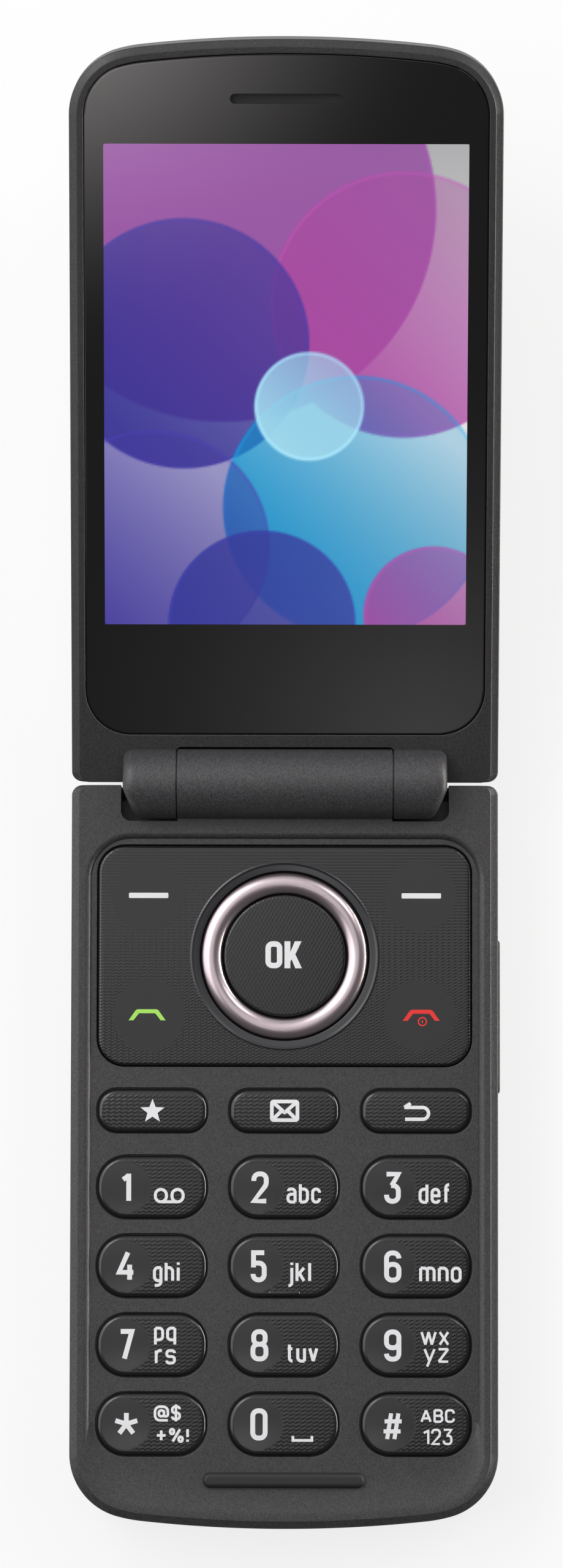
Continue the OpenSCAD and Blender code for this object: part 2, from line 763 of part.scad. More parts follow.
module snap_domes() {
  module dome() translate([0, 0, board_z1]) cylinder(r1 = dome_r, r2 = dome_r * dome_top, h = dome_h);
  color(steel) {
    for (i = [0:len(KEY_NAMES) - 1]) key_place(i) dome();
    base_at(0, panel_v, 0) {
      dome();
      for (a = [0:90:270]) rotate([0, 0, a]) translate([ring_mid_r, 0, 0]) dome();
      for (sx = [-1, 1], sv = [-1, 1]) translate([sx * soft_x, sv * soft_v, 0]) dome();
    }
  }
}

module keypad_mat() {
  color("#5c5d62")
  base_at(0, (mat_v0 + mat_v1) / 2, mat_z0) block([field_w + mat_over, mat_v1 - mat_v0, mat_t], 2 * part_r);
}

module charging_socket() {
  color(steel)
  base_at(0, socket_v + socket_size[1], socket_z) difference() {
    run(socket_size);
    translate([0, -cut, socket_wall])
      run([
        socket_size[0] - 2 * socket_wall,
        socket_size[1] - socket_wall + cut,
        socket_size[2] - 2 * socket_wall
      ]);
  }
}

module loudspeaker() {
  color("#2a2a2c")
  base_at(speaker_x, speaker_v, wall) block(speaker_size, part_r);
}

module vibration_motor() {
  color(steel)
  base_at(shield_x, cavity_0 + back_bevel + part_room + motor_d / 2, wall)
    cylinder(d = motor_d, h = motor_t);
}

module microphone() {
  color(amber)
  base_at(-mic_x, reach - mic_v, split_z - mic_t) cylinder(d = mic_d, h = mic_t);
}

module antenna_carrier() {
  color("#6d6a60")
  base_at(socket_size[0] / 2 + part_room + antenna_size[0] / 2,
      reach - wall - back_bevel, split_z - antenna_size[2])
    run(antenna_size);
}

module base_screws() {
  color(steel)
  for (p = base_screws_at) base_at(p[0], p[1], screw_seat) screw(cover_under - screw_seat);
}

// Hinge

module knuckle(s) {
  x0 = barrel_half + seam;
  x1 = barrel_len / 2;
  mirror([s < 0 ? 1 : 0, 0, 0]) {
    axis_bar(barrel_d, x0, x1 - knuckle_taper);
    translate([x1 - knuckle_taper, hinge_y, hinge_z]) rotate([0, 90, 0])
      cylinder(d1 = barrel_d, d2 = barrel_d - 2 * knuckle_taper, h = knuckle_taper);
  }
}

shaft_head_l = 0.7 * knuckle_len;
shaft_head_d = 1.5 * shaft_d;
shaft_flat = 0.6 * shaft_d;        // distance of the flat from the axis

// Shaft head with one flat, which locks the shaft to its knuckle
module shaft_head(grow)
  intersection() {
    axis_bar(shaft_head_d + 2 * grow, barrel_half + seam, barrel_half + seam + shaft_head_l + grow);
    lid_at(0, 0, 0) translate([0, -barrel_d, -barrel_d])
      cube([barrel_len, 2 * barrel_d, barrel_d + closed_gap / 2 + shaft_flat + grow]);
  }

module hinge_shaft() {
  color(steel) {
    axis_bar(shaft_d, barrel_half - cartridge_len + wall + fit, barrel_half + seam + skin);
    shaft_head(0);
  }
}

module hinge_cartridge() {
  color("#77797c")
  difference() {
    axis_bar(cartridge_d, barrel_half - cartridge_len, barrel_half);
    axis_bar(shaft_d + 2 * running_fit, barrel_half - cartridge_len + wall, barrel_half + cut);
  }
}

module hinge_bush() {
  color(steel)
  difference() {
    axis_bar(bush_d, bush_x0, bush_x1);
    axis_bar(bush_bore, bush_x0 - cut, bush_x1 + cut);
    lid_cable_slot();
  }
}

// Way of the flat cable out of the left knuckle into the display half
module lid_cable_slot()
  lid_at(lid_cable_x, 0, lid_cable_d + 2 * cable_t)
  translate([-cable_w / 2 - fit, 0, -fit])
  cube([cable_w + 2 * fit, cavity_0 + cut, 2 * cable_t + 2 * fit]);

module hinge_cable_roll() {
  color(amber)
  difference() {
    axis_bar(bush_bore - 2 * roll_t, bush_x0 + fit, bush_x1 - fit);
    axis_bar(bush_bore - 4 * roll_t, bush_x0, bush_x1);
  }
}

// Flat cable from the roll in the middle barrel to the circuit board
module base_flat_cable() {
  end_v = mat_v0 - fit;
  color(amber) {
    base_at(cable_x, cable_t / 2, cable_land) run([cable_w, cable_t, hinge_z - cable_land]);
    base_at(cable_x, end_v, cable_land) run([cable_w, end_v, cable_t]);
    base_at(cable_x, end_v, board_z1) run([cable_w, end_v - cavity_0 - cut, cable_land - board_z1]);
  }
}

// Flat cable from the roll in the left knuckle to the display half's board
module lid_flat_cable() {
  end_u = lid_board_u0 + board_lead / 2;
  color(amber)
  lid_at(lid_cable_x, 0, 0) translate([-cable_w / 2, 0, 0]) {
    translate([0, 0, -lid_cable_d - cable_t]) cube([cable_w, end_u, cable_t]);
    translate([0, end_u - cable_t, -lid_board_d]) cube([cable_w, cable_t, lid_board_d - lid_cable_d]);
  }
}

// Display half: shells

module lid_frame() {
  color(case_colour)
  difference() {
    union() {
      difference() {
        lid_at(0, 0, 0) mirror([0, 0, 1]) bevelled_half(frame_t, edge_bevel, 0);
        lid_at(0, 0, frame_t + cut) linear_extrude(frame_t + cut - frame_under)
          polygon(half_points(wall, cavity_0, cavity_r));
        axis_bar(turn_d, -barrel_half - seam, barrel_half + seam);
      }
      for (s = [-1, 1]) knuckle(s);
      for (p = lid_screws_at) lid_at(p[0], p[1], frame_t)
        cylinder(d = boss_d, h = frame_t - frame_under + skin);
    }
    lid_at(0, 0, shelf_d) linear_extrude(shelf_d + cut) polygon(lens_points(-lens_fit));
    lid_at(0, (view_u0 + view_u1) / 2, frame_under + cut)
      linear_extrude(shelf_t + 2 * cut) square([view_w, view_u1 - view_u0], center = true);
    lid_at(0, ear_u, frame_under + cut)
      linear_extrude(shelf_t + 2 * cut) rounded(earpiece_w, earpiece_h, earpiece_h * round_end);
    lid_at(0, ear_u, shelf_d + mesh_t + bond) block(mesh_pocket(fit), mesh_r + fit);
    shaft_head(thread_fit);
    axis_bar(bush_d + 2 * thread_fit, bush_x0 - thread_fit, -barrel_half);
    lid_cable_slot();
    for (p = lid_screws_at) lid_at(p[0], p[1], 0) {
      translate([0, 0, -shelf_d - head_h - bond]) cylinder(d = head_d + 2 * fit, h = head_h + cut);
      translate([0, 0, -frame_t - cut]) cylinder(d = screw_d + 2 * thread_fit, h = frame_t);
    }
  }
}

function lens_points(inset) = half_points(lens_margin + inset, lens_u0 + inset, lens_r - inset);

mesh_t = 0.2;
mesh_r = 1;
mesh_over = 0.6;
function mesh_pocket(grow) = [
  earpiece_w + 2 * (mesh_over + grow),
  earpiece_h + 2 * (mesh_over + grow),
  mesh_t + bond + skin
];

module lid_cover() {
  color(case_colour)
  difference() {
    lid_at(0, 0, lid_t) bevelled_half(lid_t - frame_t, back_bevel, 0);
    difference() {
      lid_at(0, 0, lid_roof_d) bevelled_half(lid_t, back_bevel, wall);
      for (p = lid_screws_at) lid_at(p[0], p[1], lid_t) cylinder(d = boss_d, h = lid_t - frame_t);
    }
    axis_bar(turn_d, -notch_half, notch_half);
    lid_at(0, outer_lens_u, lid_t + cut)
      block([outer_lens_w + 2 * lens_fit, outer_lens_l + 2 * lens_fit, outer_lens_t + bond + cut],
        outer_lens_r + lens_fit);
    lid_at(0, outer_lens_u, lid_t)
      block([outer_lens_w - 2 * outer_ledge, outer_lens_l - 2 * outer_ledge, lid_t - frame_t],
        outer_lens_r / 2);
    lid_at(0, camera_u, lid_t + cut)
      cylinder(d = camera_d + 2 * lens_fit, h = outer_lens_t + bond + cut);
    lid_at(0, camera_u, lid_t) cylinder(d = camera_d - 2 * camera_ledge, h = lid_t - frame_t);
    for (p = lid_screws_at) lid_at(p[0], p[1], lid_roof_d)
      cylinder(d = screw_d + 2 * thread_fit, h = lid_t);
  }
}

// Inside and on the display half

module main_lens() {
  color("#151517")
  difference() {
    lid_at(0, 0, lens_sink + lens_t) linear_extrude(lens_t) polygon(lens_points(0));
    lid_at(0, ear_u, lens_sink + lens_t + cut)
      linear_extrude(lens_t + 2 * cut) rounded(earpiece_w, earpiece_h, earpiece_h * round_end);
  }
}

module main_display() {
  color("#30343c")
  lid_at(0, view_u0 - display_low, display_d + display_t)
    run([view_w + 2 * display_side, view_u1 - view_u0 + display_low + display_high, display_t]);
}

module display_plate() {
  color(steel)
  lid_at(0, view_u0 - display_low, plate_d + plate_t)
    run([view_w + 2 * display_side, view_u1 - view_u0 + display_low + display_high, plate_t]);
}

module earpiece_speaker() {
  color("#4a4a4d")
  lid_at(0, ear_u, frame_under + ear_speaker[2]) block(ear_speaker, part_r);
}

module earpiece_mesh() {
  color(steel)
  lid_at(0, ear_u, shelf_d + mesh_t) block([mesh_pocket(0)[0], mesh_pocket(0)[1], mesh_t], mesh_r);
}

module lid_board() {
  color(board_colour)
  lid_at(0, lid_board_u0, lid_board_d + lid_board_t)
    run([
      body_w - 2 * (wall + back_bevel + part_room),
      view_u1 + display_high - lid_board_u0,
      lid_board_t
    ]);
}

module outer_lens() {
  color("#151517")
  lid_at(0, outer_lens_u, lid_t) block([outer_lens_w, outer_lens_l, outer_lens_t], outer_lens_r);
}

module outer_display() {
  color("#30343c")
  lid_at(0, outer_lens_u, lid_roof_d - bond)
    block([
      outer_lens_w - 2 * outer_border,
      outer_lens_l - 2 * outer_border,
      lid_roof_d - bond - outer_display_d
    ], part_r);
}

module camera_module() {
  color("#1d1d20")
  lid_at(0, camera_u, outer_display_d + camera_size[2]) block(camera_size, part_r);
}

module camera_window() {
  color("#101014")
  lid_at(0, camera_u, lid_t) cylinder(d = camera_d, h = outer_lens_t);
}

module lid_magnet() {
  color(steel)
  lid_at(body_w / 4, camera_u, outer_display_d + magnet_size[2]) block(magnet_size, part_r / 2);
}

module lid_screws() {
  color(steel)
  for (p = lid_screws_at) lid_at(p[0], p[1], shelf_d + head_h + bond) mirror([0, 0, 1])
    screw(lid_roof_d - shelf_d - head_h - 2 * bond);
}

rear_case();
front_cover();
battery_door();
battery();
battery_contacts();
main_board();
shield_can();
snap_domes();
keypad_mat();
charging_socket();
loudspeaker();
vibration_motor();
microphone();
antenna_carrier();
base_screws();
closing_bumper();
hinge_cartridge();
base_flat_cable();
side_switch();
volume_key();
nav_panel_pad();
nav_panel();
nav_ring_pad();
nav_ring();
ok_button();
lid_frame();
lid_cover();
main_lens();
main_display();
display_plate();
earpiece_speaker();
earpiece_mesh();
lid_board();
outer_lens();
outer_display();
camera_module();
camera_window();
lid_magnet();
lid_screws();
hinge_shaft();
hinge_bush();
hinge_cable_roll();
lid_flat_cable();
for (i = [0:len(KEY_NAMES) - 1])
  key(i);
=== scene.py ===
"""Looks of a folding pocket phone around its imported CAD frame. Lengths in the formulas are millimetres."""

import json
from functools import partial
from types import SimpleNamespace

import bmesh
import bpy
import numpy as np
from bpy.props import FloatProperty, FloatVectorProperty, PointerProperty
from mathutils import Matrix, Vector, geometry


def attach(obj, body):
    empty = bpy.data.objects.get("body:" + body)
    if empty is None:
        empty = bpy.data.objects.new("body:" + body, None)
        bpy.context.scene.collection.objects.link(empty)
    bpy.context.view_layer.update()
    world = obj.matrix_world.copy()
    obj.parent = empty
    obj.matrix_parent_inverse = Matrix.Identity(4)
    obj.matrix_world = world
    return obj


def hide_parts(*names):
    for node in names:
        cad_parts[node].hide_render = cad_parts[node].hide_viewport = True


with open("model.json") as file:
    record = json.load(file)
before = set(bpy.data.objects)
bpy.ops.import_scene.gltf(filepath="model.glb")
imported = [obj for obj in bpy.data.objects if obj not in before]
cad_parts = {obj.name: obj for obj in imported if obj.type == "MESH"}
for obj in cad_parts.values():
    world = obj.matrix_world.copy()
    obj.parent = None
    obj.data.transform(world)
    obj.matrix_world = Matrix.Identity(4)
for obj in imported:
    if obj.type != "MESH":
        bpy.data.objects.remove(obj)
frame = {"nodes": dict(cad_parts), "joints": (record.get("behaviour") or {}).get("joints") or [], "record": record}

bl_info = {
    "name": "Folding phone looks",
    "version": (1, 0, 0),
    "blender": (4, 5, 0),
    "location": "View3D > Sidebar > Phone",
    "description": "Builds the visible surfaces, finishes and stage of a folding phone",
    "category": "Object",
}

HINGE = next(j for j in frame["joints"] if j["name"] == "lid_hinge")
AXIS_Y, AXIS_Z = (1000 * c for c in HINGE["pos_m"][1:])
TILT = np.radians(180 - HINGE["range_deg"][1])
KEY_ROWS = [
    ("favourites", "message", "back"),
    ("1", "2", "3"),
    ("4", "5", "6"),
    ("7", "8", "9"),
    ("star", "0", "hash"),
]
SHARP = 32  # degrees between faces, above which an edge stays hard
EASE = 0.12  # bevel along the seams
HOLLOW = 6.0  # hinge axis to the hollow of each half
PAST = 16  # length of a cutter that reaches past the hinge
SUNK = 0.2  # how far a legend reaches into its surface
# Rounded rectangles: width, height, corner radius and centre
WINDOW = (46.3, 61.6, 0.3, 0, 51.6)
EARPIECE = (14.25, 1.27, 0.63, 0, 88.1)
DOOR = (38.4, 53.8, 2, 0, 55.8)
OUTER_LENS = (34, 26, 4, 0, 47)
CAMERA = (8, 8, 4, 0, 76)
ROCKER = (19.9, 3, 1.2, 29.85, 4.35)
SCREWS = [(2.6, 2.6, 1.3, x, v) for x, v in ((24.325, 3.425), (-24.325, 3.425), (18.5, 90.2), (-18.5, 90.2))]
SOUND_SLOTS = [(1, 7.2, 0.5, 2.2 * i - 17.4, 14.8) for i in range(5)]
CHARGING = (8, 4, 0.3, 0, 95.2)
SIDE_KEY = (4, 20.3, 0.3, 27.8, 29.85)
MICROPHONE = (0.8, 0.8, 0.4, -11, 3.05)
# Strokes of each glyph as corners "x y turn" in a unit box, z for a closed stroke; first its width
GLYPHS = {
    "0": ".5 z 0 0 .2 1 0 .2 1 1 .2 0 1 .2",
    "1": ".3 1 1 0 1 0 0 / 0 .78 0 1 .93 0",
    "2": ".5 0 .74 0 0 1 .2 1 1 .2 1 .6 .3 0 0 0 1 0 0",
    "3": ".5 0 1 0 1 1 0 .44 .58 0 / .38 .58 0 1 .58 .2 1 0 .2 0 0 .2 0 .24 0",
    "4": ".55 .62 1 0 0 .27 0 1 .27 0 / .74 .55 0 .74 0 0",
    "5": ".5 1 1 0 .04 1 0 .04 .46 0 / .04 .62 0 1 .62 .2 1 0 .2 0 0 .2 0 .22 0",
    "6": ".5 z 0 0 .2 1 0 .2 1 .58 .2 0 .58 .2 / 0 .3 0 0 1 .2 1 1 .2 1 .8 0",
    "7": ".5 0 1 0 1 1 0 .34 0 0",
    "8": ".5 z 0 0 .2 1 0 .2 1 .54 .2 0 .54 .2 / z .06 .54 .18 .94 .54 .18 .94 1 .18 .06 1 .18",
    "9": ".5 z 0 .42 .2 1 .42 .2 1 1 .2 0 1 .2 / 1 .7 0 1 0 .2 0 0 .2 0 .2 0",
    "#": ".6 .2 0 0 .42 1 0 / .6 0 0 .82 1 0 / 0 .3 0 .94 .3 0 / .06 .69 0 1 .69 0",
    "*": "1 .5 .48 0 .5 1 0 / .5 .48 0 1 .64 0 / .5 .48 0 .82 .04 0 / .5 .48 0 .18 .04 0 / .5 .48 0 0 .64 0",
    "a": ".5 .06 .84 0 .06 1 .2 1 1 .28 1 0 0 / 1 .6 0 0 .6 .25 0 0 .25 1 0 0",
    "b": ".5 0 1.36 0 0 0 0 / 0 0 0 1 0 .3 1 1 .3 0 1 0",
    "c": ".48 1 .72 0 1 1 .28 0 1 .28 0 0 .28 1 0 .28 1 .28 0",
    "d": ".5 1 1.36 0 1 0 0 / 1 0 0 0 0 .3 0 1 .3 1 1 0",
    "e": ".5 0 .5 0 1 .5 0 1 1 .28 0 1 .28 0 0 .28 1 0 .22 1 .2 0",
    "f": ".36 1 1.36 0 .35 1.36 .25 .35 0 0 / 0 .95 0 .95 .95 0",
    "g": ".5 1 0 0 0 0 .3 0 1 .3 1 1 0 / 1 1 0 1 -.36 .28 .05 -.36 0",
    "h": ".5 0 1.36 0 0 0 0 / 0 1 0 1 1 .3 1 0 0",
    "i": ".06 .5 1 0 .5 0 0 / .5 1.22 0 .5 1.4 0",
    "j": ".22 1 1 0 1 -.36 .22 0 -.36 0 / 1 1.22 0 1 1.4 0",
    "k": ".46 0 1.36 0 0 0 0 / 1 1 0 .1 .42 0 / .35 .58 0 1 0 0",
    "l": ".06 .5 1.36 0 .5 0 0",
    "m": ".86 0 1 0 0 0 0 / 0 1 0 .5 1 .25 .5 0 0 / .5 1 0 1 1 .25 1 0 0",
    "n": ".5 0 1 0 0 0 0 / 0 1 0 1 1 .3 1 0 0",
    "o": ".5 z 0 0 .28 1 0 .28 1 1 .28 0 1 .28",
    "p": ".5 0 1 0 0 -.4 0 / 0 0 0 1 0 .3 1 1 .3 0 1 0",
    "q": ".5 1 1 0 1 -.4 0 / 1 0 0 0 0 .3 0 1 .3 1 1 0",
    "r": ".34 0 1 0 0 0 0 / 0 .6 0 .1 1 .3 1 1 0",
    "s": ".46 1 .8 0 1 1 .22 0 1 .22 0 .52 .2 1 .52 .2 1 0 .22 0 0 .22 0 .2 0",
    "t": ".36 .35 1.3 0 .35 0 .25 1 0 0 / 0 .97 0 .95 .97 0",
    "u": ".5 0 1 0 0 0 .3 1 0 0 / 1 1 0 1 0 0",
    "v": ".52 0 1 0 .5 0 0 / .5 0 0 1 1 0",
    "w": ".84 0 1 0 .27 0 0 / .27 0 0 .5 1 0 / .5 1 0 .73 0 0 / .73 0 0 1 1 0",
    "x": ".5 0 1 0 1 0 0 / 0 0 0 1 1 0",
    "y": ".5 0 1 0 .52 0 0 / 1 1 0 .25 -.4 0",
    "z": ".48 0 1 0 1 1 0 / 1 1 0 0 0 0 / 0 0 0 1 0 0",
    "A": ".6 0 0 0 .5 1 0 / .5 1 0 1 0 0 / .2 .3 0 .8 .3 0",
    "B": ".5 0 0 0 0 1 0 / 0 1 0 .94 1 .22 .94 .52 .22 0 .52 0 / 0 .52 0 1 .52 .24 1 0 .24 0 0 0",
    "C": ".5 1 .72 0 1 1 .24 0 1 .24 0 0 .24 1 0 .24 1 .28 0",
    "O": ".5 z 0 0 .2 1 0 .2 1 1 .2 0 1 .2",
    "@": ".8 1 -.1 0 0 -.1 .4 0 1 .4 1 1 .4 1 .22 .16 .7 .22 .1 .7 .7 0 / z .3 .22 .2 .7 .22 .2 .7 .7 .2 .3 .7 .2",
    "$": ".46 1 .8 0 1 1 .22 0 1 .22 0 .5 .2 1 .5 .2 1 0 .22 0 0 .22 0 .2 0 / .5 1.18 0 .5 -.18 0",
    "+": ".5 0 .5 0 1 .5 0 / .5 .1 0 .5 .9 0",
    "%": ".7 .2 0 0 .8 1 0 / z 0 .62 .18 .3 .62 .18 .3 1 .18 0 1 .18 / z .7 0 .18 1 0 .18 1 .38 .18 .7 .38 .18",
    "!": ".06 .5 1 0 .5 .36 0 / .5 .16 0 .5 -.02 0",
    "voice": "2 z 0 0 .5 .4 0 .5 .4 1 .5 0 1 .5 / z .6 0 .5 1 0 .5 1 1 .5 .6 1 .5 / .2 0 0 .8 0 0",
    "mail": "1.3 z 0 0 .1 1 0 .1 1 1 .1 0 1 .1 / .05 .95 0 .5 .4 .05 .95 .95 0"
            " / .05 .05 0 .4 .52 0 / .95 .05 0 .6 .52 0",
    "back": "1.4 0 .86 0 1 .86 .43 1 0 .43 .03 0 0 / 0 .86 0 .26 1.16 0",
    "space": "3 0 1 0 0 0 0 1 0 0 1 1 0",
    "ring": "1 z 0 0 .5 1 0 .5 1 1 .5 0 1 .5 / .5 .33 0 .5 .67 0",
}
# Discs of the display's picture: centre (x, u), radius, tint and fade
SCREEN_DISCS = [
    (-8, 74, 27, (0.56, 0.25, 0.61), 0.2),
    (15, 62, 17, (0.66, 0.27, 0.62), 0.6),
    (-13, 57, 16, (0.2, 0.18, 0.57), 0.35),
    (9, 36, 17, (0.0, 0.53, 0.78), 0.7),
    (-17, 31, 15, (0.24, 0.2, 0.6), 0.5),
    (-3, 21, 12, (0.18, 0.19, 0.58), 0.2),
    (19, 22, 9, (0.62, 0.25, 0.6), 0.4),
    (3, 49, 7, (0.62, 0.84, 0.92), 0.3),
]
# Legends of each key: glyphs, left, right, baseline and height from the key's centre, stroke
DIGIT, LETTERS = (-2.05, 4.1, 0.62), (-2.05, 2.05, 0.38)
LEGENDS = {
    "1": [("1", -4.05, -2.71, *DIGIT), (["voice"], 0.21, 4.16, -2.05, 1.97, 0.38)],
    "2": [("2", -4.21, -2.0, *DIGIT), ("abc", 0.29, 4.72, *LETTERS)],
    "3": [("3", -4.12, -1.99, *DIGIT), ("def", 0.3, 4.41, *LETTERS)],
    "4": [("4", -4.53, -2.08, *DIGIT), ("ghi", 0.13, 3.61, *LETTERS)],
    "5": [("5", -4.29, -2.24, *DIGIT), ("jkl", 0.37, 3.53, *LETTERS)],
    "6": [("6", -4.12, -1.91, *DIGIT), ("mno", 0.38, 5.83, *LETTERS)],
    "7": [("7", -4.29, -2.24, *DIGIT), ("pq", 0.29, 3.14, 0.5, 1.85, 0.36),
          ("rs", 0.4, 3.1, -2.47, 1.95, 0.36)],
    "8": [("8", -4.29, -2.0, *DIGIT), ("tuv", 0.29, 4.4, -2.2, 2.0, 0.38)],
    "9": [("9", -4.12, -1.91, *DIGIT), ("wx", 0.54, 4.25, -0.02, 1.9, 0.31),
          ("yz", 0.93, 4.25, -2.2, 1.9, 0.31)],
    "star": [("*", -4.92, -1.52, -1.57, 3.3, 0.6), ("@$", 0.29, 3.77, 0.5, 1.9, 0.32),
             ("+%!", 0.53, 4.87, -2.37, 1.9, 0.34)],
    "0": [("0", -4.29, -2.08, *DIGIT), (["space"], 1.0, 3.77, -2.2, 0.9, 0.34)],
    "hash": [("#", -4.44, -1.6, -2.1, 3.8, 0.52), ("ABC", 0.54, 4.96, 0.24, 1.75, 0.29),
             ("123", 0.83, 4.65, -2.6, 2.1, 0.29)],
    "message": [(["mail"], -1.84, 1.91, -1.4, 2.85, 0.46)],
    "back": [(["back"], -1.75, 1.8, -1.25, 2.2, 0.44)],
}


def length(label, text, value):
    """One length of the phone, in metres"""
    return FloatProperty(name=label, description=text, default=value, unit="LENGTH", precision=5)


def colour(label, text, value):
    """One colour of the phone, linear"""
    return FloatVectorProperty(name=label, description=text, default=value, subtype="COLOR", min=0, max=1)


class PhoneSizes(bpy.types.PropertyGroup):
    """Lengths of the case, hinge, keypad and display"""

    body_width: length("Width", "Width of both halves", 0.055)
    reach: length("Reach", "Hinge axis to the far end of a half", 0.0956)
    end_radius: length("End bow", "Radius of the bowed far ends", 0.17)
    corner_radius: length("Corners", "First radius of the far corners", 0.00829)
    blend_radius: length("Corner blend", "Second radius of the far corners", 0.0192)
    ear_radius: length("Ears", "Radius of the corners beside the hinge", 0.0013)
    near: length("Hinge gap", "Hinge axis to the near ends", 0.00015)
    bevel: length("Rim bevel", "Width of the bevel around the inner faces", 0.001)
    bevel_drop: length("Bevel drop", "Fall of the bevel to the sides", 0.0005)
    back_round: length("Back edge", "Rounding of the base's back edges", 0.0018)
    lid_round: length("Lid back edge", "Rounding of the lid's back edges", 0.0024)
    base_top: length("Base thickness", "Height of the base's rim", 0.0102)
    lid_thick: length("Lid thickness", "Inner face of the lid to its back", 0.0078)
    gap: length("Closed gap", "Space between the closed halves", 0.0005)
    seam: length("Base seam", "Height of the seam around the base", 0.0061)
    lid_seam: length("Lid seam", "Depth of the seam around the lid", 0.0043)
    floor: length("Keypad floor", "Height of the dished floor", 0.00965)
    under: length("Cover underside", "Height of the cover's underside", 0.00855)
    wall: length("Wall", "Wall of the case", 0.0012)
    barrel: length("Barrel", "Radius of the hinge barrel", 0.0045)
    clear: length("Hinge clearance", "Radius kept free around the axis", 0.0048)
    middle_half: length("Middle barrel", "Half length of the middle barrel", 0.01386)
    knuckle_in: length("Knuckle start", "Centre to the inner end of a knuckle", 0.01402)
    knuckle_out: length("Knuckle end", "Centre to the outer end of a knuckle", 0.02085)
    notch_half: length("Notch", "Half width of the base's notch", 0.02115)
    key_width: length("Key width", "Width of each key's opening", 0.01436)
    number_height: length("Number key", "Height of a number key's opening", 0.00828)
    function_height: length("Function key", "Height of a function key's opening", 0.00586)
    key_clear: length("Key gap", "Gap around each key", 0.00013)
    key_pitch: length("Key spacing", "Spacing of the key columns", 0.01696)
    key_top: length("Key height", "Height of the key tops", 0.01007)
    panel_width: length("Panel width", "Width of the navigation panel's opening", 0.0483)
    panel_height: length("Panel height", "Height of the navigation panel's opening", 0.0286)
    panel_v: length("Panel place", "Hinge axis to the panel's centre", 0.02215)
    relief: length("Key relief", "Height of the zigzag lines on the keys", 0.00005)


class PhoneColours(bpy.types.PropertyGroup):
    """Colours of the case, keys, legends and stage"""

    case: colour("Case", "Satin case plastic", (0.036, 0.0345, 0.037))
    keys: colour("Keys", "Key and panel plastic", (0.0095, 0.0093, 0.0107))
    ring: colour("Ring", "Metal navigation ring", (0.58, 0.49, 0.52))
    lens: colour("Lens", "Dark gloss lens", (0.006, 0.0055, 0.006))
    rubber: colour("Rubber", "Dark rubber", (0.013, 0.013, 0.0145))
    legend: colour("Legends", "White legends", (0.8, 0.8, 0.82))
    call: colour("Call", "Green call legend", (0.38, 0.76, 0.11))
    end: colour("End", "Red end legend", (0.79, 0.021, 0.017))
    floor: colour("Floor", "Pale floor", (0.9, 0.9, 0.9))


def sizes():
    """Every length of the panel's settings, in millimetres"""
    group = bpy.context.scene.phone_sizes
    return SimpleNamespace(**{k: 1000 * getattr(group, k) for k in PhoneSizes.__annotations__})


def paint(name):
    """One colour of the panel's settings with its alpha"""
    return (*getattr(bpy.context.scene.phone_colours, name), 1)


def on_base(p):
    """Base coordinates (x, v away from the hinge, z) to the shared frame"""
    return np.stack([p[..., 0], AXIS_Y - p[..., 1], p[..., 2]], -1)


def on_lid(p):
    """Lid coordinates (x, u away from the hinge, h above the inner face) to the shared frame"""
    u, w = p[..., 1], p[..., 2] - sizes().gap / 2
    y, z = u * np.cos(TILT) - w * np.sin(TILT), u * np.sin(TILT) + w * np.cos(TILT)
    return np.stack([p[..., 0], AXIS_Y + y, AXIS_Z + z], -1)


def inside(points, loop):
    """Which points lie inside a closed loop, by counting the sides that a ray crosses"""
    x, y = points[:, :1], points[:, 1:2]
    a, b = loop, np.roll(loop, -1, 0)
    over = (a[:, 1] > y) != (b[:, 1] > y)
    rise = np.where(a[:, 1] == b[:, 1], 1, b[:, 1] - a[:, 1])
    cross = a[:, 0] + (y - a[:, 1]) / rise * (b[:, 0] - a[:, 0])
    return (over & (x < cross)).sum(1) % 2 == 1


def placed(name, data):
    """A new object in the scene"""
    item = bpy.data.objects.new(name, data)
    bpy.context.scene.collection.objects.link(item)
    return item


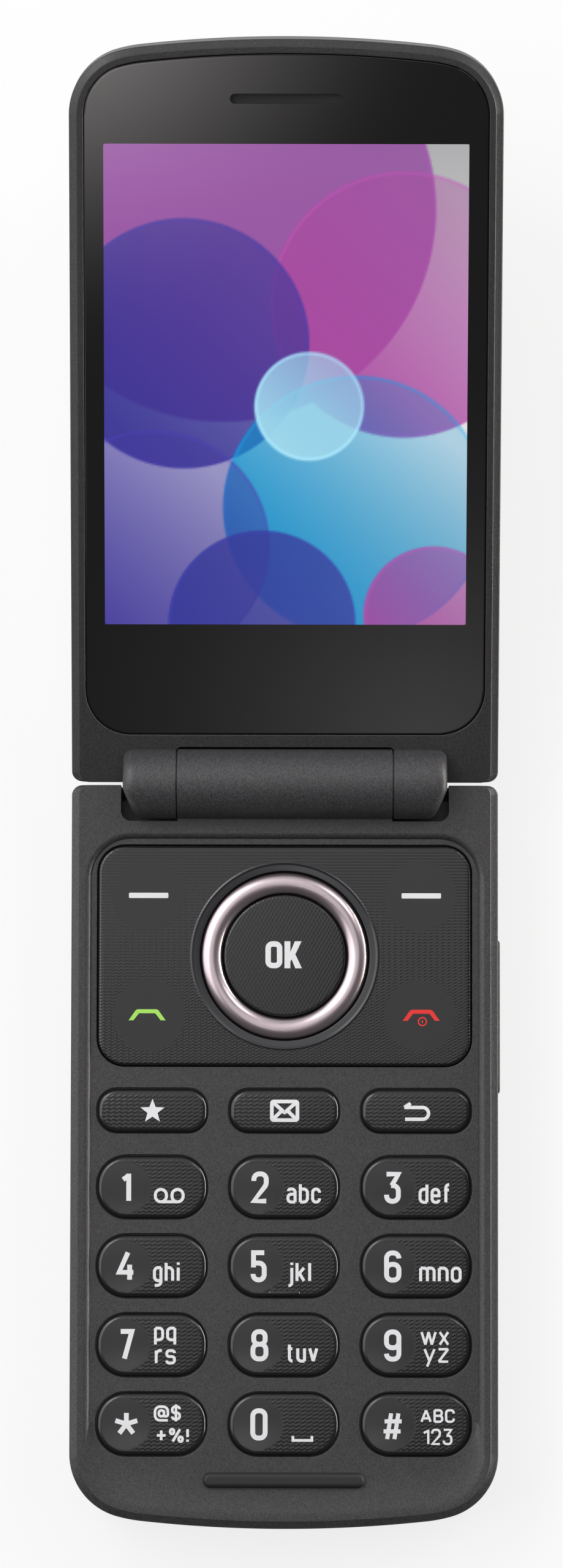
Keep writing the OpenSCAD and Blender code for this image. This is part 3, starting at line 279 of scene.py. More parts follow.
class Skin:
    """Surfaces of one piece, gathered in millimetres and welded into one closed mesh"""

    def __init__(self):
        self.points, self.faces, self.count = [], [], 0

    def add(self, points, *faces):
        """Points with faces given as index arrays"""
        points = np.asarray(points, float).reshape(-1, 3)
        self.points.append(points)
        self.faces += [f + self.count for f in faces]
        self.count += len(points)

    def grid(self, rows, wrap=True, ends=""):
        """A sheet through rows of points; wrap joins a row's ends, a and b close the first and last row"""
        k, n = rows.shape[:2]
        i, j = n * np.arange(k - 1)[:, None], np.arange(n if wrap else n - 1)[None]
        q = np.stack(np.broadcast_arrays(i + j, i + (j + 1) % n, i + n + (j + 1) % n, i + n + j), -1)
        caps = [np.arange(n)[None] + r for e, r in (("a", 0), ("b", (k - 1) * n)) if e in ends]
        self.add(rows, q.reshape(-1, 4), *caps)
        return self

    def fill(self, outer, holes, height):
        """A flat sheet at one height inside an outline and outside its holes"""
        loops = [outer, *holes]
        flat = np.concatenate(loops)
        starts = np.cumsum([0] + [len(a) for a in loops])
        spans = [np.arange(a, b) for a, b in zip(starts, starts[1:])]
        edges = np.concatenate([np.stack([s, np.roll(s, -1)], -1) for s in spans]).tolist()
        made = geometry.delaunay_2d_cdt([Vector(p) for p in flat], edges, [], 1, 1e-6)
        points, tris = np.array(made[0]), np.array(made[2])
        middle = points[tris].mean(1)
        keep = inside(middle, outer)
        for hole in holes:
            keep &= ~inside(middle, hole)
        self.add(np.column_stack([points, np.full(len(points), height)]), tris[keep])

    def plate(self, loops, heights, holes):
        """Two flat sheets with the walls of the holes between them"""
        for loop, height in zip(loops, heights):
            self.fill(loop, holes, height)
        for hole in holes:
            self.grid(stack(hole, heights))

    def block(self, flat, low, high):
        """A closed block over an outline"""
        return self.grid(stack(flat, [low, high]), ends="ab")

    def piece(self, name, place, angle=SHARP):
        """The welded object, faces outward, smooth except across edges sharper than angle"""
        mesh = bpy.data.meshes.new(name)
        points = 0.001 * place(np.concatenate(self.points))
        loops = np.concatenate([f.ravel() for f in self.faces])
        counts = np.concatenate([np.full(len(f), f.shape[1]) for f in self.faces])
        mesh.vertices.add(len(points))
        mesh.vertices.foreach_set("co", points.astype(np.float32).ravel())
        mesh.loops.add(len(loops))
        mesh.loops.foreach_set("vertex_index", loops.astype(np.int32))
        mesh.polygons.add(len(counts))
        mesh.polygons.foreach_set("loop_start", (np.cumsum(counts) - counts).astype(np.int32))
        mesh.update(calc_edges=True)
        weld(mesh, angle)
        return placed(name, mesh)


def weld(mesh, angle=SHARP):
    """Merges doubles, turns faces outward and sets smooth shading with sharp edges"""
    work = bmesh.new()
    work.from_mesh(mesh)
    bmesh.ops.remove_doubles(work, verts=work.verts, dist=2e-7)
    bmesh.ops.recalc_face_normals(work, faces=work.faces)
    work.to_mesh(mesh)
    work.free()
    mesh.polygons.foreach_set("use_smooth", np.ones(len(mesh.polygons), bool))
    mesh.set_sharp_from_angle(angle=np.radians(angle))
    mesh.update()


def cut(piece, cutter):
    """Takes the cutter's volume away from a piece and removes the cutter"""
    step = piece.modifiers.new("cut", "BOOLEAN")
    step.operation, step.solver, step.object = "DIFFERENCE", "EXACT", cutter
    bpy.context.view_layer.update()
    shape = piece.evaluated_get(bpy.context.evaluated_depsgraph_get())
    old, made = piece.data, bpy.data.meshes.new_from_object(shape)
    piece.modifiers.remove(step)
    piece.data = made
    weld(made)
    spent = cutter.data
    bpy.data.objects.remove(cutter)
    bpy.data.meshes.remove(spent)
    made.name = old.name
    bpy.data.meshes.remove(old)


def dress(piece, body, nodes, material):
    """Gives a piece its body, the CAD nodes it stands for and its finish"""
    piece.data.materials.clear()
    piece.data.materials.append(bpy.data.materials["look_" + material])
    piece.modifiers.new("even", "WEIGHTED_NORMAL").keep_sharp = True
    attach(piece, body)
    if nodes:
        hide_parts(*nodes)
    return piece


def arc(x, y, r, a0, a1, n):
    """n + 1 points of an arc from angle a0 to a1, for columns of centres and radii"""
    a = a0 + (a1 - a0) * np.linspace(0, 1, n + 1)
    return np.stack([x + r * np.cos(a), y + r * np.sin(a)], -1)


def outline(inset, near, near_r, reach=None):
    """Outlines of one half at each inset: two near corners, far corners of two radii and a bowed end"""
    s = sizes()
    inset, near, near_r = (
        np.asarray(a, float).reshape(-1, 1) for a in np.broadcast_arrays(inset, near, near_r)
    )
    half, r1, r2, r3 = s.body_width / 2, s.corner_radius, s.blend_radius, s.end_radius
    turn = 1.297  # angle at which the far corner's first radius gives way to the second
    x1 = half - r1
    x2 = x1 - (r2 - r1) * np.cos(turn)
    last = np.arccos(x2 / (r3 - r2))
    y3 = (reach or s.reach) - r3
    y2 = y3 + (r3 - r2) * np.sin(last)
    y1 = y2 + (r2 - r1) * np.sin(turn)
    side = half - inset - near_r
    parts = [
        arc(side, near + near_r, near_r, -np.pi / 2, 0, 12),
        arc(x1, y1, r1 - inset, 0, turn, 24),
        arc(x2, y2, r2 - inset, turn, last, 8)[:, 1:],
        arc(0, y3, r3 - inset, last, np.pi - last, 24)[:, 1:-1],
        arc(-x2, y2, r2 - inset, np.pi - last, np.pi - turn, 8)[:, :-1],
        arc(-x1, y1, r1 - inset, np.pi - turn, np.pi, 24),
        arc(-side, near + near_r, near_r, np.pi, 1.5 * np.pi, 12),
    ]
    return np.concatenate(parts, 1)


def rounded(w, h, r, x=0.0, y=0.0, n=10):
    """Closed rounded rectangle of width w and height h about (x, y)"""
    r = min(r, w / 2, h / 2)
    at = [(w / 2 - r, r - h / 2), (w / 2 - r, h / 2 - r), (r - w / 2, h / 2 - r), (r - w / 2, r - h / 2)]
    a = np.linspace(0, np.pi / 2, n + 1)
    turns = [np.stack([cx + r * np.cos(a + q), cy + r * np.sin(a + q)], -1)
             for (cx, cy), q in zip(at, np.pi / 2 * np.array([-1, 0, 1, 2]))]
    return np.concatenate(turns) + (x, y)


def grown(shape, by):
    """The outline of a rounded rectangle (w, h, r, x, y) grown on every side"""
    w, h, r, x, y = shape
    return rounded(w + 2 * by, h + 2 * by, r + by, x, y)


def profile(shape, side):
    """Rings of a rounded rectangle for each inset and height of a side"""
    return np.stack([stack(grown(shape, -e), [z])[0] for e, z in side])


def border(sheet):
    """The points around a sheet of rows, in order"""
    return np.concatenate([sheet[0], sheet[1:, -1], sheet[-1, -2::-1], sheet[-2:0:-1, 0]])


def track(points, closed=False, n=7):
    """A path through corners (x, y, r), each turned with radius r"""
    p = np.array(points, float)
    made, share = [], 0.499  # of a side, for each of two turns
    for i in range(len(p)):
        c, r = p[i, :2], p[i, 2]
        if r == 0 or (not closed and i in (0, len(p) - 1)):
            made.append(c[None])
            continue
        a, b = p[i - 1, :2] - c, p[(i + 1) % len(p), :2] - c
        la, lb = np.linalg.norm(a), np.linalg.norm(b)
        a, b = a / la, b / lb
        half = np.arccos(np.clip(a @ b, -1, 1)) / 2
        beside = (la, p[i - 1, 2]), (lb, p[(i + 1) % len(p), 2])
        room = [d * (share if turned else 1) for d, turned in beside]
        run = min(r / np.tan(half), *room)
        r = run * np.tan(half)
        way = (a + b) / np.linalg.norm(a + b)
        centre = c + way * r / np.sin(half)
        t = np.linspace(half - np.pi / 2, np.pi / 2 - half, n + 1)[:, None]
        side = np.array([-way[1], way[0]])
        side = side if side @ b > 0 else -side
        made.append(centre + r * (np.sin(t) * side - np.cos(t) * way))
    return np.concatenate(made)


def stack(flat, heights):
    """Lifts outlines (k, n, 2) to heights (k)"""
    flat = np.broadcast_to(flat, (len(heights), *np.shape(flat)[-2:]))
    tall = np.broadcast_to(np.reshape(heights, (-1, 1, 1)), (*flat.shape[:2], 1))
    return np.concatenate([flat, tall], -1)


def front_shell(skin, rim, inset, top, seam, under):
    """Bevelled side of a half from its rim down to the seam, and its inner wall; gives the inner outline"""
    s = sizes()
    lip, dip, bend = 0.14, 0.13, 0.25
    side = track([(inset, top, 0), (s.bevel, top, 0), (s.bevel - lip, top - dip, 0),
                  (0, top - s.bevel_drop, bend), (0, seam + EASE, 0), (EASE, seam, 0)])
    rings = outline(side[1:, 0], s.near, s.ear_radius)
    skin.grid(stack(np.concatenate([rim, rings]), side[:, 1]))
    wall = outline(s.wall, HOLLOW, 1.0)
    skin.grid(stack(np.concatenate([rings[-1:], wall, wall]), [seam, seam, under]))
    return wall[0]


def back_shell(name, place, bottom, seam, bend, flare, holes):
    """Rear part of a half: rounded back edge, side up to the seam, inner wall and openings"""
    s = sizes()
    side = track([(bend * flare, bottom, 0), (0, bottom, bend), (0, seam - EASE, 0), (EASE, seam, 0)], n=12)
    fillet, floor = 1.2, bottom + s.wall
    within = [(s.wall, seam), (s.wall, floor + fillet), (s.wall + fillet, floor)]
    near = np.concatenate([s.near + 0.5 * side[:, 0], [HOLLOW, HOLLOW, HOLLOW + fillet]])
    side = np.concatenate([side, within])
    rings = stack(outline(side[:, 0], near, s.ear_radius), side[:, 1])
    skin = Skin().grid(rings)
    skin.plate(rings[[0, -1], :, :2], [bottom, floor], holes)
    return skin.piece(name, place)


def rod(skin, x, r, y=0.0, z=0.0, lean=0.0, n=96):
    """A turned body along X through radii r at places x, closed at both ends, its -Y side shorter by lean"""
    a = np.linspace(0, 2 * np.pi, n, endpoint=False)
    x, r = np.asarray(x, float)[:, None], np.asarray(r, float)[:, None]
    x = x[0] + (x - x[0]) * (1 - lean * np.clip(-np.cos(a), 0, 1))
    rows = np.stack(np.broadcast_arrays(x, y + r * np.cos(a), z + r * np.sin(a)), -1)
    skin.grid(rows, ends="ab")


def ribbon(skin, path, width, low, high, surface, closed=False):
    """A stroke of even width along a path, between two heights over a surface, mitred at its corners"""
    mitre = 0.6  # least cosine that a corner's mitre follows
    path = path[np.r_[True, np.hypot(*np.diff(path, axis=0).T) > 1e-6]]
    ahead = np.roll(path, -1, 0) - path
    if not closed:
        ahead[-1] = ahead[-2]
    ahead /= np.hypot(*ahead.T)[:, None]
    behind = np.roll(ahead, 1, 0)
    if not closed:
        behind[0] = ahead[0]
    across = ahead @ [[0, 1], [-1, 0]]
    middle = across + behind @ [[0, 1], [-1, 0]]
    middle /= np.hypot(*middle.T)[:, None]
    middle *= width / 2 / np.clip((middle * across).sum(1), mitre, 1)[:, None]
    sides = [(path + middle, high), (path - middle, high), (path - middle, low), (path + middle, low)]
    rows = np.stack([np.column_stack([p, surface(p[:, 0], p[:, 1]) + d]) for p, d in sides], 1)
    skin.grid(np.concatenate([rows, rows[:1]]) if closed else rows, ends="" if closed else "ab")


def write(skin, glyphs, left, right, base, height, stroke, surface, lift=0.03):
    """Strokes of a run of glyphs, spread to fill the space from left to right"""
    marks = [GLYPHS[g].split(maxsplit=1) for g in glyphs]
    widths = np.array([float(w) for w, _ in marks])
    space = stroke * 0.75
    step = 0.004  # each later stroke of a glyph lies a little higher, so that crossings are clean
    scale = (right - left - stroke * len(marks) - space * (len(marks) - 1)) / widths.sum()
    x = left + stroke / 2
    for (_, text), w in zip(marks, widths * scale):
        for i, part in enumerate(text.split("/")):
            words = part.split()
            closed = words[0] == "z"
            corners = np.array(words[closed:], float).reshape(-1, 3)
            tall = height - stroke
            path = track(corners * (w, tall, tall) + (x, base + stroke / 2, 0), closed)
            ribbon(skin, path, stroke, -SUNK, lift + step * i, surface, closed)
        x += w + stroke + space


def key_layout(gap=0.0):
    """Name, centre (x, v), width, height and corner radius of each key, less a gap all round"""
    s = sizes()
    first, start, spacing = 42.13, 41.85, 10.1
    for row, names in enumerate(KEY_ROWS):
        v, h, r = (start + spacing * row, s.number_height, 3.9) if row else (first, s.function_height, 2.6)
        for column, name in enumerate(names):
            yield name, (s.key_pitch * (column - 1), v), s.key_width - 2 * gap, h - 2 * gap, r - gap


def key_depth(x, y, w, h, r):
    """Distance in from a key's outline"""
    q = np.stack([np.abs(x) - w / 2 + r, np.abs(y) - h / 2 + r])
    return r - np.hypot(*np.maximum(q, 0)) - np.minimum(q.max(0), 0)


def key_surface(x, y, w, h, r, top):
    """Height of a key's pillow: z = top - 0.16 (2x/w)^2 - 0.14 (2y/h)^2, rounded by 0.6 at its edge"""
    edge, across, along = 0.6, 0.16, 0.14
    lack = np.clip(edge - key_depth(x, y, w, h, r), 0, edge)
    fall = across * (2 * x / w) ** 2 + along * (2 * y / h) ** 2
    return top - fall - edge + np.sqrt(edge**2 - lack**2)


def add_node(owner, kind, ins=None, **settings):
    """A node with its settings; ins maps inputs to values or to outputs of other nodes"""
    node = owner.node_tree.nodes.new(kind)
    for key, value in settings.items():
        setattr(node, key, value)
    for key, value in (ins or {}).items():
        if isinstance(value, bpy.types.NodeSocket):
            owner.node_tree.links.new(value, node.inputs[key])
        else:
            node.inputs[key].default_value = value
    return node


def calculate(owner, kind, a, b=0.0):
    """The result of a maths node of some kind"""
    return add_node(owner, "ShaderNodeMath", {0: a, 1: b}, operation=kind).outputs[0]


def ranged(owner, value, *ends):
    """A value carried from the range of the first two ends to that of the last two"""
    return add_node(owner, "ShaderNodeMapRange", dict(enumerate((value, *ends)))).outputs[0]


def blend(owner, share, low, high):
    """A mix of two colours"""
    return add_node(owner, "ShaderNodeMix", {0: share, 6: low, 7: high}, data_type="RGBA").outputs[2]


def feed(material, socket, output):
    """Links an output to the finish's shader"""
    shader = material.node_tree.nodes["Principled BSDF"]
    material.node_tree.links.new(output, shader.inputs[socket])


def emboss(material, height, depth):
    """Gives a finish a bump from heights of 0 to 1, depth in metres"""
    bump = add_node(material, "ShaderNodeBump", {"Strength": 1, "Distance": depth, "Height": height})
    feed(material, "Normal", bump.outputs[0])


def shades(base, *factors):
    """A colour made darker or lighter by each factor"""
    return [(*(f * np.array(base[:3])), 1) for f in factors]


def finish(name, base, rough, metal=0.0, grain=0.0, cell=0.12, blotch=0.0, speckle=0.0, **sockets):
    """A procedural finish: base colour varied by blotch or by speckle of each cell, bump of fine grain (mm)"""
    material = bpy.data.materials.new("look_" + name)
    material.use_nodes = True
    shader = material.node_tree.nodes["Principled BSDF"]
    for key, value in {"Base Color": base, "Roughness": rough, "Metallic": metal, **sockets}.items():
        shader.inputs[key].default_value = value
    fine = {"Vector": add_node(material, "ShaderNodeTexCoord").outputs["Object"], "Scale": 1000 / cell}
    coarse = {**fine, "Scale": 1000 / cell / 2.5, "Detail": 2}
    vary = blotch or speckle
    if vary:
        if blotch:
            share = add_node(material, "ShaderNodeTexNoise", coarse).outputs[0]
        else:
            share = add_node(material, "ShaderNodeTexVoronoi", fine).outputs["Color"]
        feed(material, "Base Color", blend(material, share, *shades(base, 1 - vary, 1 + vary)))
    if grain:
        dust = add_node(material, "ShaderNodeTexNoise", {**fine, "Detail": 1})
        emboss(material, dust.outputs[0], grain / 1000)
    return material


def weave(name, base, rough, pitch, period, panel=None):
    """A finish with raised dots, h = cos(2 pi x / period) cos(2 pi y / pitch) in millimetres

    The panel has lines, h = cos(2 pi (y + A sin(2 pi x / period)) / pitch), with A growing away from the
    hinge, smooth circles around its marks and a paler collar."""
    material = finish(name, base, rough, **{"Specular IOR Level": 0.6})
    maths, fade = partial(calculate, material), partial(ranged, material)
    place = add_node(material, "ShaderNodeTexCoord").outputs["Object"]
    scaled = add_node(material, "ShaderNodeVectorMath", {0: place, 1: (1000, 1000, 1000)}, operation="MULTIPLY")
    x, y, _ = add_node(material, "ShaderNodeSeparateXYZ", {0: scaled.outputs[0]}).outputs
    across = maths("MULTIPLY", x, 2 * np.pi / period)
    if not panel:
        rows = maths("COSINE", maths("MULTIPLY", y, 2 * np.pi / pitch))
        line = maths("MULTIPLY", maths("COSINE", across), rows)
    else:
        (middle, out, off), radius, ring = panel
        soft = 0.15  # blur of the circles
        swing = maths("MULTIPLY", maths("SINE", across), fade(y, middle + 9, middle - 9, 0.012, 0.12))
        line = maths("COSINE", maths("MULTIPLY", maths("ADD", y, swing), 2 * np.pi / pitch))
        line = maths("MULTIPLY", line, fade(y, middle + 14, middle - 8, 0.55, 1.0))
        up = maths("SUBTRACT", y, middle)
        marks = [maths("SUBTRACT", maths("ABSOLUTE", c), d) for c, d in ((x, out), (up, off))]
        for spot, r in ((marks, radius), ((x, up), ring)):
            squares = [maths("POWER", maths("ABSOLUTE", c), 2.0) for c in spot]
            far = maths("SQRT", maths("ADD", *squares))
            line = maths("MULTIPLY", line, fade(far, r - soft, r + soft, 0.0, 1.0))
    high = maths("ADD", maths("MULTIPLY", line, 0.5), 0.5)
    # The colour follows the relief height. Raised dots and lines are painted lighter as a painted highlight, and
    # the grooves darker as painted shade
    dark, light, pale = shades(base, 0.55, 1.45, 2.4)
    painted_relief_shading = blend(material, high, dark, light)
    if panel:
        painted_relief_shading = blend(material, fade(far, ring - 0.05, ring, 1.0, 0.0), painted_relief_shading, pale)
    feed(material, "Base Color", painted_relief_shading)
    emboss(material, high, 2e-5)
    return material


class PHONE_OT_finishes(bpy.types.Operator):
    """Makes the procedural finishes"""

    bl_idname = "phone.finishes"
    bl_label = "Finishes"

    def execute(self, context):
        # The case plastic is copied at three tones. The barrel copy is painted 1.25 times lighter, a painted
        # highlight on the hinge barrel and knuckles. The lid's copy is painted 0.62 times darker, painted shade
        # over the whole lid
        for name, share in (("case", 1.0), ("barrel", 1.25), ("lid_case", 0.62)):
            finish(name, *shades(paint("case"), share), 0.42, grain=0.02, cell=0.12, speckle=0.6)
        gloss = {"Specular IOR Level": 0.6}
        finish("keys", paint("keys"), 0.24, grain=0.002, cell=0.1, blotch=0.05, **gloss)
        weave("button_weave", paint("keys"), 0.28, 0.83, 0.48)
        middle = AXIS_Y - sizes().panel_v
        weave("panel_weave", paint("keys"), 0.26, 0.4, 0.77, ((middle, 17.5, 7.7), 4.6, 12.1))
        finish("ring", paint("ring"), 0.3, 1.0, grain=0.0004, cell=0.4, blotch=0.03)
        finish("lens", paint("lens"), 0.06, blotch=0.02)
        finish("rubber", paint("rubber"), 0.6, grain=0.004, cell=0.15, blotch=0.08)
        for ink in ("legend", "call", "end"):
            finish(ink, paint(ink), 0.5, blotch=0.02)
        finish("metal", (0.55, 0.55, 0.57, 1), 0.3, 1.0, grain=0.001, cell=0.3, blotch=0.04)
        finish("black", (0.015, 0.015, 0.016, 1), 0.45, grain=0.004, cell=0.2, blotch=0.06)
        finish("board", (0.02, 0.09, 0.045, 1), 0.4, blotch=0.1)
        finish("copper", (0.75, 0.5, 0.2, 1), 0.3, 1.0, blotch=0.05)
        finish("dark_glass", (0.02, 0.02, 0.022, 1), 0.12, blotch=0.03)
        screen = finish("screen", (0.004, 0.004, 0.004, 1), 0.06, **{"Emission Strength": 1})
        picture = add_node(screen, "ShaderNodeVertexColor", layer_name="Picture")
        feed(screen, "Emission Color", picture.outputs["Color"])
        looks = {
            "case_plastic": "case", "key_plastic": "keys", "ring_metal": "ring", "lens": "lens",
            "display": "dark_glass", "black_plastic": "black", "rubber": "rubber", "steel": "metal",
            "light_metal": "metal", "circuit_board": "board", "copper": "copper",
        }
        slots = {p["node"]: p["material_slot"] for p in frame["record"]["subparts"]}
        for name, node in frame["nodes"].items():
            node.data.materials.clear()
            look = "black" if name == "earpiece_mesh" or "cable" in name else looks[slots[name]]
            node.data.materials.append(bpy.data.materials["look_" + look])
        return {"FINISHED"}


class PHONE_OT_base_shell(bpy.types.Operator):
    """Builds the base's dished front cover with its barrel, and the rear case

    The dish's wall is z = floor + (top - floor) (cos t - cos 70) / (1 - cos 70) over 1 - sin t / sin 70, with t
    from 70 degrees to 0, and eases into a parabola at the far end"""

    bl_idname = "phone.base_shell"
    bl_label = "Base shell"

    def execute(self, context):
        s = sizes()
        inset, near, bend, slope, far_slope = 1.75, 6.25, 5.95, 0.8, 4.75
        rim = outline(inset, near, bend)
        low = outline(inset + slope, near + slope, bend - slope, s.reach - far_slope)
        steep = np.radians(70)
        t = np.linspace(steep, 0, 15)[:, None]
        run, rise = 1 - np.sin(t) / np.sin(steep), (np.cos(t) - np.cos(steep)) / (1 - np.cos(steep))
        far_from, far_run = 78, 9
        rise = rise + (run**2 - rise) * np.clip((low[..., 1] - far_from) / far_run, 0, 1)
        dish = low + (rim - low) * run[..., None]
        height = s.floor + (s.base_top - s.floor) * rise
        skin = Skin().grid(np.concatenate([dish, height[..., None]], -1))
        wall = front_shell(skin, rim, inset, s.base_top, s.seam, s.under)
        openings = [(w, h, r, x, v) for _, (x, v), w, h, r in key_layout()]
        openings.append((s.panel_width, s.panel_height, 3.6, 0, s.panel_v))
        edge = track([(0.14, s.floor, 0), (0, s.floor, 0.14), (0, s.under, 0)]) * (-1, 1)
        edges = np.stack([profile(shape, edge) for shape in openings])
        for rings in edges:
            skin.grid(rings)
        skin.fill(low[0], edges[:, 0, :, :2], s.floor)
        skin.fill(wall, edges[:, -1, :, :2], s.under)
        cover = skin.piece("front_cover_skin", on_base)
        notch = rounded(2 * s.notch_half, PAST, 1.3, 0, s.clear - PAST / 2)
        cut(cover, Skin().block(notch, 2, 14).piece("notch", on_base))
        barrel = Skin()
        ease = np.array([0.12, 0.04, 0])
        x = np.concatenate([ease[::-1] - s.middle_half, s.middle_half - ease])
        rod(barrel, x, s.barrel - np.concatenate([ease, ease[::-1]]), 0, AXIS_Z)
        root = rounded(2 * s.middle_half, s.clear, 0.05, 0, s.clear / 2)
        barrel.block(root, s.seam + 0.1, s.base_top - 0.03)
        dress(cover, "base", ["front_cover"], "case")
        # The middle barrel takes the case plastic painted lighter, a painted highlight
        dress(barrel.piece("middle_barrel", on_base), "base", ["front_cover"], "barrel")

        case = back_shell("rear_case_skin", on_base, 0, s.seam, s.back_round, 1.15, [grown(DOOR, 0.1)])
        groove = Skin()
        rod(groove, [-s.notch_half, s.notch_half], [s.clear, s.clear], 0, AXIS_Z)
        for shapes, low, high in (
            (SCREWS, -1, 1.7),
            (SOUND_SLOTS, -1, 2),
            ([CHARGING], 3.0, 6.5),
            ([SIDE_KEY], 2.65, 6.5),
        ):
            for shape in shapes:
                groove.block(rounded(*shape), low, high)
        lengthwise = [0, 2, 1]
        groove.grid(stack(rounded(*MICROPHONE), [93, 97])[..., lengthwise], ends="ab")
        cut(case, groove.piece("groove", on_base))
        dress(case, "base", ["rear_case"], "case")
        return {"FINISHED"}


class PHONE_OT_lid_shell(bpy.types.Operator):
    """Builds the lid's frame with its knuckles, and the lid cover"""

    bl_idname = "phone.lid_shell"
    bl_label = "Lid shell"

    def execute(self, context):
        s = sizes()
        inset, rim, seat, under = 1.8, 1.5, -1.05, -1.75
        pocket = track([(inset, seat, 0), (inset, 0, 0.12), (rim, 0, 0)])
        lift = inset - pocket[:, 0]
        rings = outline(pocket[:, 0], 6.4 - lift, 5.85 + lift)
        skin = Skin().grid(stack(rings, pocket[:, 1]))
        wall = front_shell(skin, rings[-1:], rim, 0, -s.lid_seam, under)
        skin.plate([rings[0], wall], [seat, under], [rounded(*WINDOW), rounded(*EARPIECE)])
        shell = skin.piece("lid_frame_skin", on_lid)
        notch = rounded(2 * s.knuckle_in, PAST, 0.6, 0, s.clear - PAST / 2)
        cut(shell, Skin().block(notch, -9, 4).piece("notch", on_lid))
        # The lid frame takes the case plastic painted darker, painted shade
        dress(shell, "lid", ["lid_frame"], "lid_case")
        a, taper, drop, lean = np.linspace(0, np.pi / 2, 9), 1.5, 1.1, 0.2
        start = s.knuckle_in + np.array([-0.14, 0, 0, 0.04, 0.12])
        x = np.concatenate([start, s.knuckle_out - taper + taper * np.sin(a)])
        r = s.barrel - np.concatenate([[0.3, 0.3, 0.12, 0.04, 0], drop * (1 - np.cos(a))])
        knuckles = Skin()
        for along in (x, -x):
            rod(knuckles, along, r, 0, s.gap / 2, lean)
        # The knuckles take the case plastic painted lighter, a painted highlight
        dress(knuckles.piece("lid_knuckles", on_lid), "lid", ["lid_frame"], "barrel")

        holes = [grown(OUTER_LENS, 0.1), grown(CAMERA, 0.1)]
        cover = back_shell("lid_cover_skin", on_lid, -s.lid_thick, -s.lid_seam, s.lid_round, 1.1, holes)
        groove = Skin()
        rod(groove, [-s.knuckle_in, s.knuckle_in], [s.clear, s.clear], 0, s.gap / 2)
        cut(cover, groove.piece("groove", on_lid))
        # The lid cover takes the case plastic painted darker, painted shade
        dress(cover, "lid", ["lid_cover"], "lid_case")
        return {"FINISHED"}


class PHONE_OT_lens(bpy.types.Operator):
    """Builds the gloss lens over the main display"""

    bl_idname = "phone.lens"
    bl_label = "Main lens"

    def execute(self, context):
        inset, back, face = 1.87, -1.0, -0.1
        side = track([(inset, back, 0), (inset, face, 0.15), (2.2, face, 0)])
        lift = inset - side[:, 0]
        rings = outline(side[:, 0], 6.47 - lift, 5.78 + lift)
        skin = Skin().grid(stack(rings, side[:, 1]))
        skin.plate(rings[[0, -1]], [back, face], [rounded(*WINDOW), rounded(*EARPIECE)])
        dress(skin.piece("lens_border", on_lid), "lid", ["main_lens"], "lens")
        w, h, _, x, u = WINDOW
        x, u = np.meshgrid(x + w * np.linspace(-0.5, 0.5, 200), u + h * np.linspace(-0.5, 0.5, 266))
        top = np.stack([x, u, 0 * x + face], -1)
        pane = Skin().grid(top, wrap=False)
        ring = border(top)
        pane.grid(np.stack([ring, ring + (0, 0, back - face)]), ends="b")
        pane = pane.piece("lens_window", on_lid)
        self.colour_in(pane.data)
        dress(pane, "lid", ["main_lens"], "screen")
        return {"FINISHED"}

    def colour_in(self, mesh):
        """Colours the window's points with overlapping tinted discs over a pale ground"""
        p = np.empty(3 * len(mesh.vertices), np.float32)
        mesh.vertices.foreach_get("co", p)
        p = p.reshape(-1, 3) * 1000
        x, u = p[:, 0], (p[:, 1] - AXIS_Y) * np.cos(TILT) + (p[:, 2] - AXIS_Z) * np.sin(TILT)
        soft, rim = 0.3, 0.25  # blur of a disc's edge, and its brighter line's distance inside it
        shade = 0.9 - 0.22 * np.abs(u - 45) / 37
        rgb = np.stack([shade, shade, shade * 1.01], -1)
        for cx, cu, r, tint, fade in SCREEN_DISCS:
            d = np.hypot(x - cx, u - cu)
            across = np.clip(0.5 + (x - cx + u - cu) / (2.4 * r), 0, 1)
            cover = np.clip((r - d) / soft + 0.5, 0, 1) * (0.95 - fade * across)
            rgb += cover[:, None] * (np.array(tint) - rgb)
            edge = np.clip(1 - np.abs(d - r + rim) / soft, 0, 1) * 0.35
            rgb += edge[:, None] * (np.array(tint) * 1.25 - rgb)
        rgb = np.clip(rgb, 0, 1)
        linear = np.where(rgb < 0.04045, rgb / 12.92, ((rgb + 0.055) / 1.055) ** 2.4)
        rgba = np.column_stack([linear, np.ones(len(linear))]).astype(np.float32)
        layer = mesh.color_attributes.new("Picture", "FLOAT_COLOR", "POINT")
        layer.data.foreach_set("color", rgba.ravel())


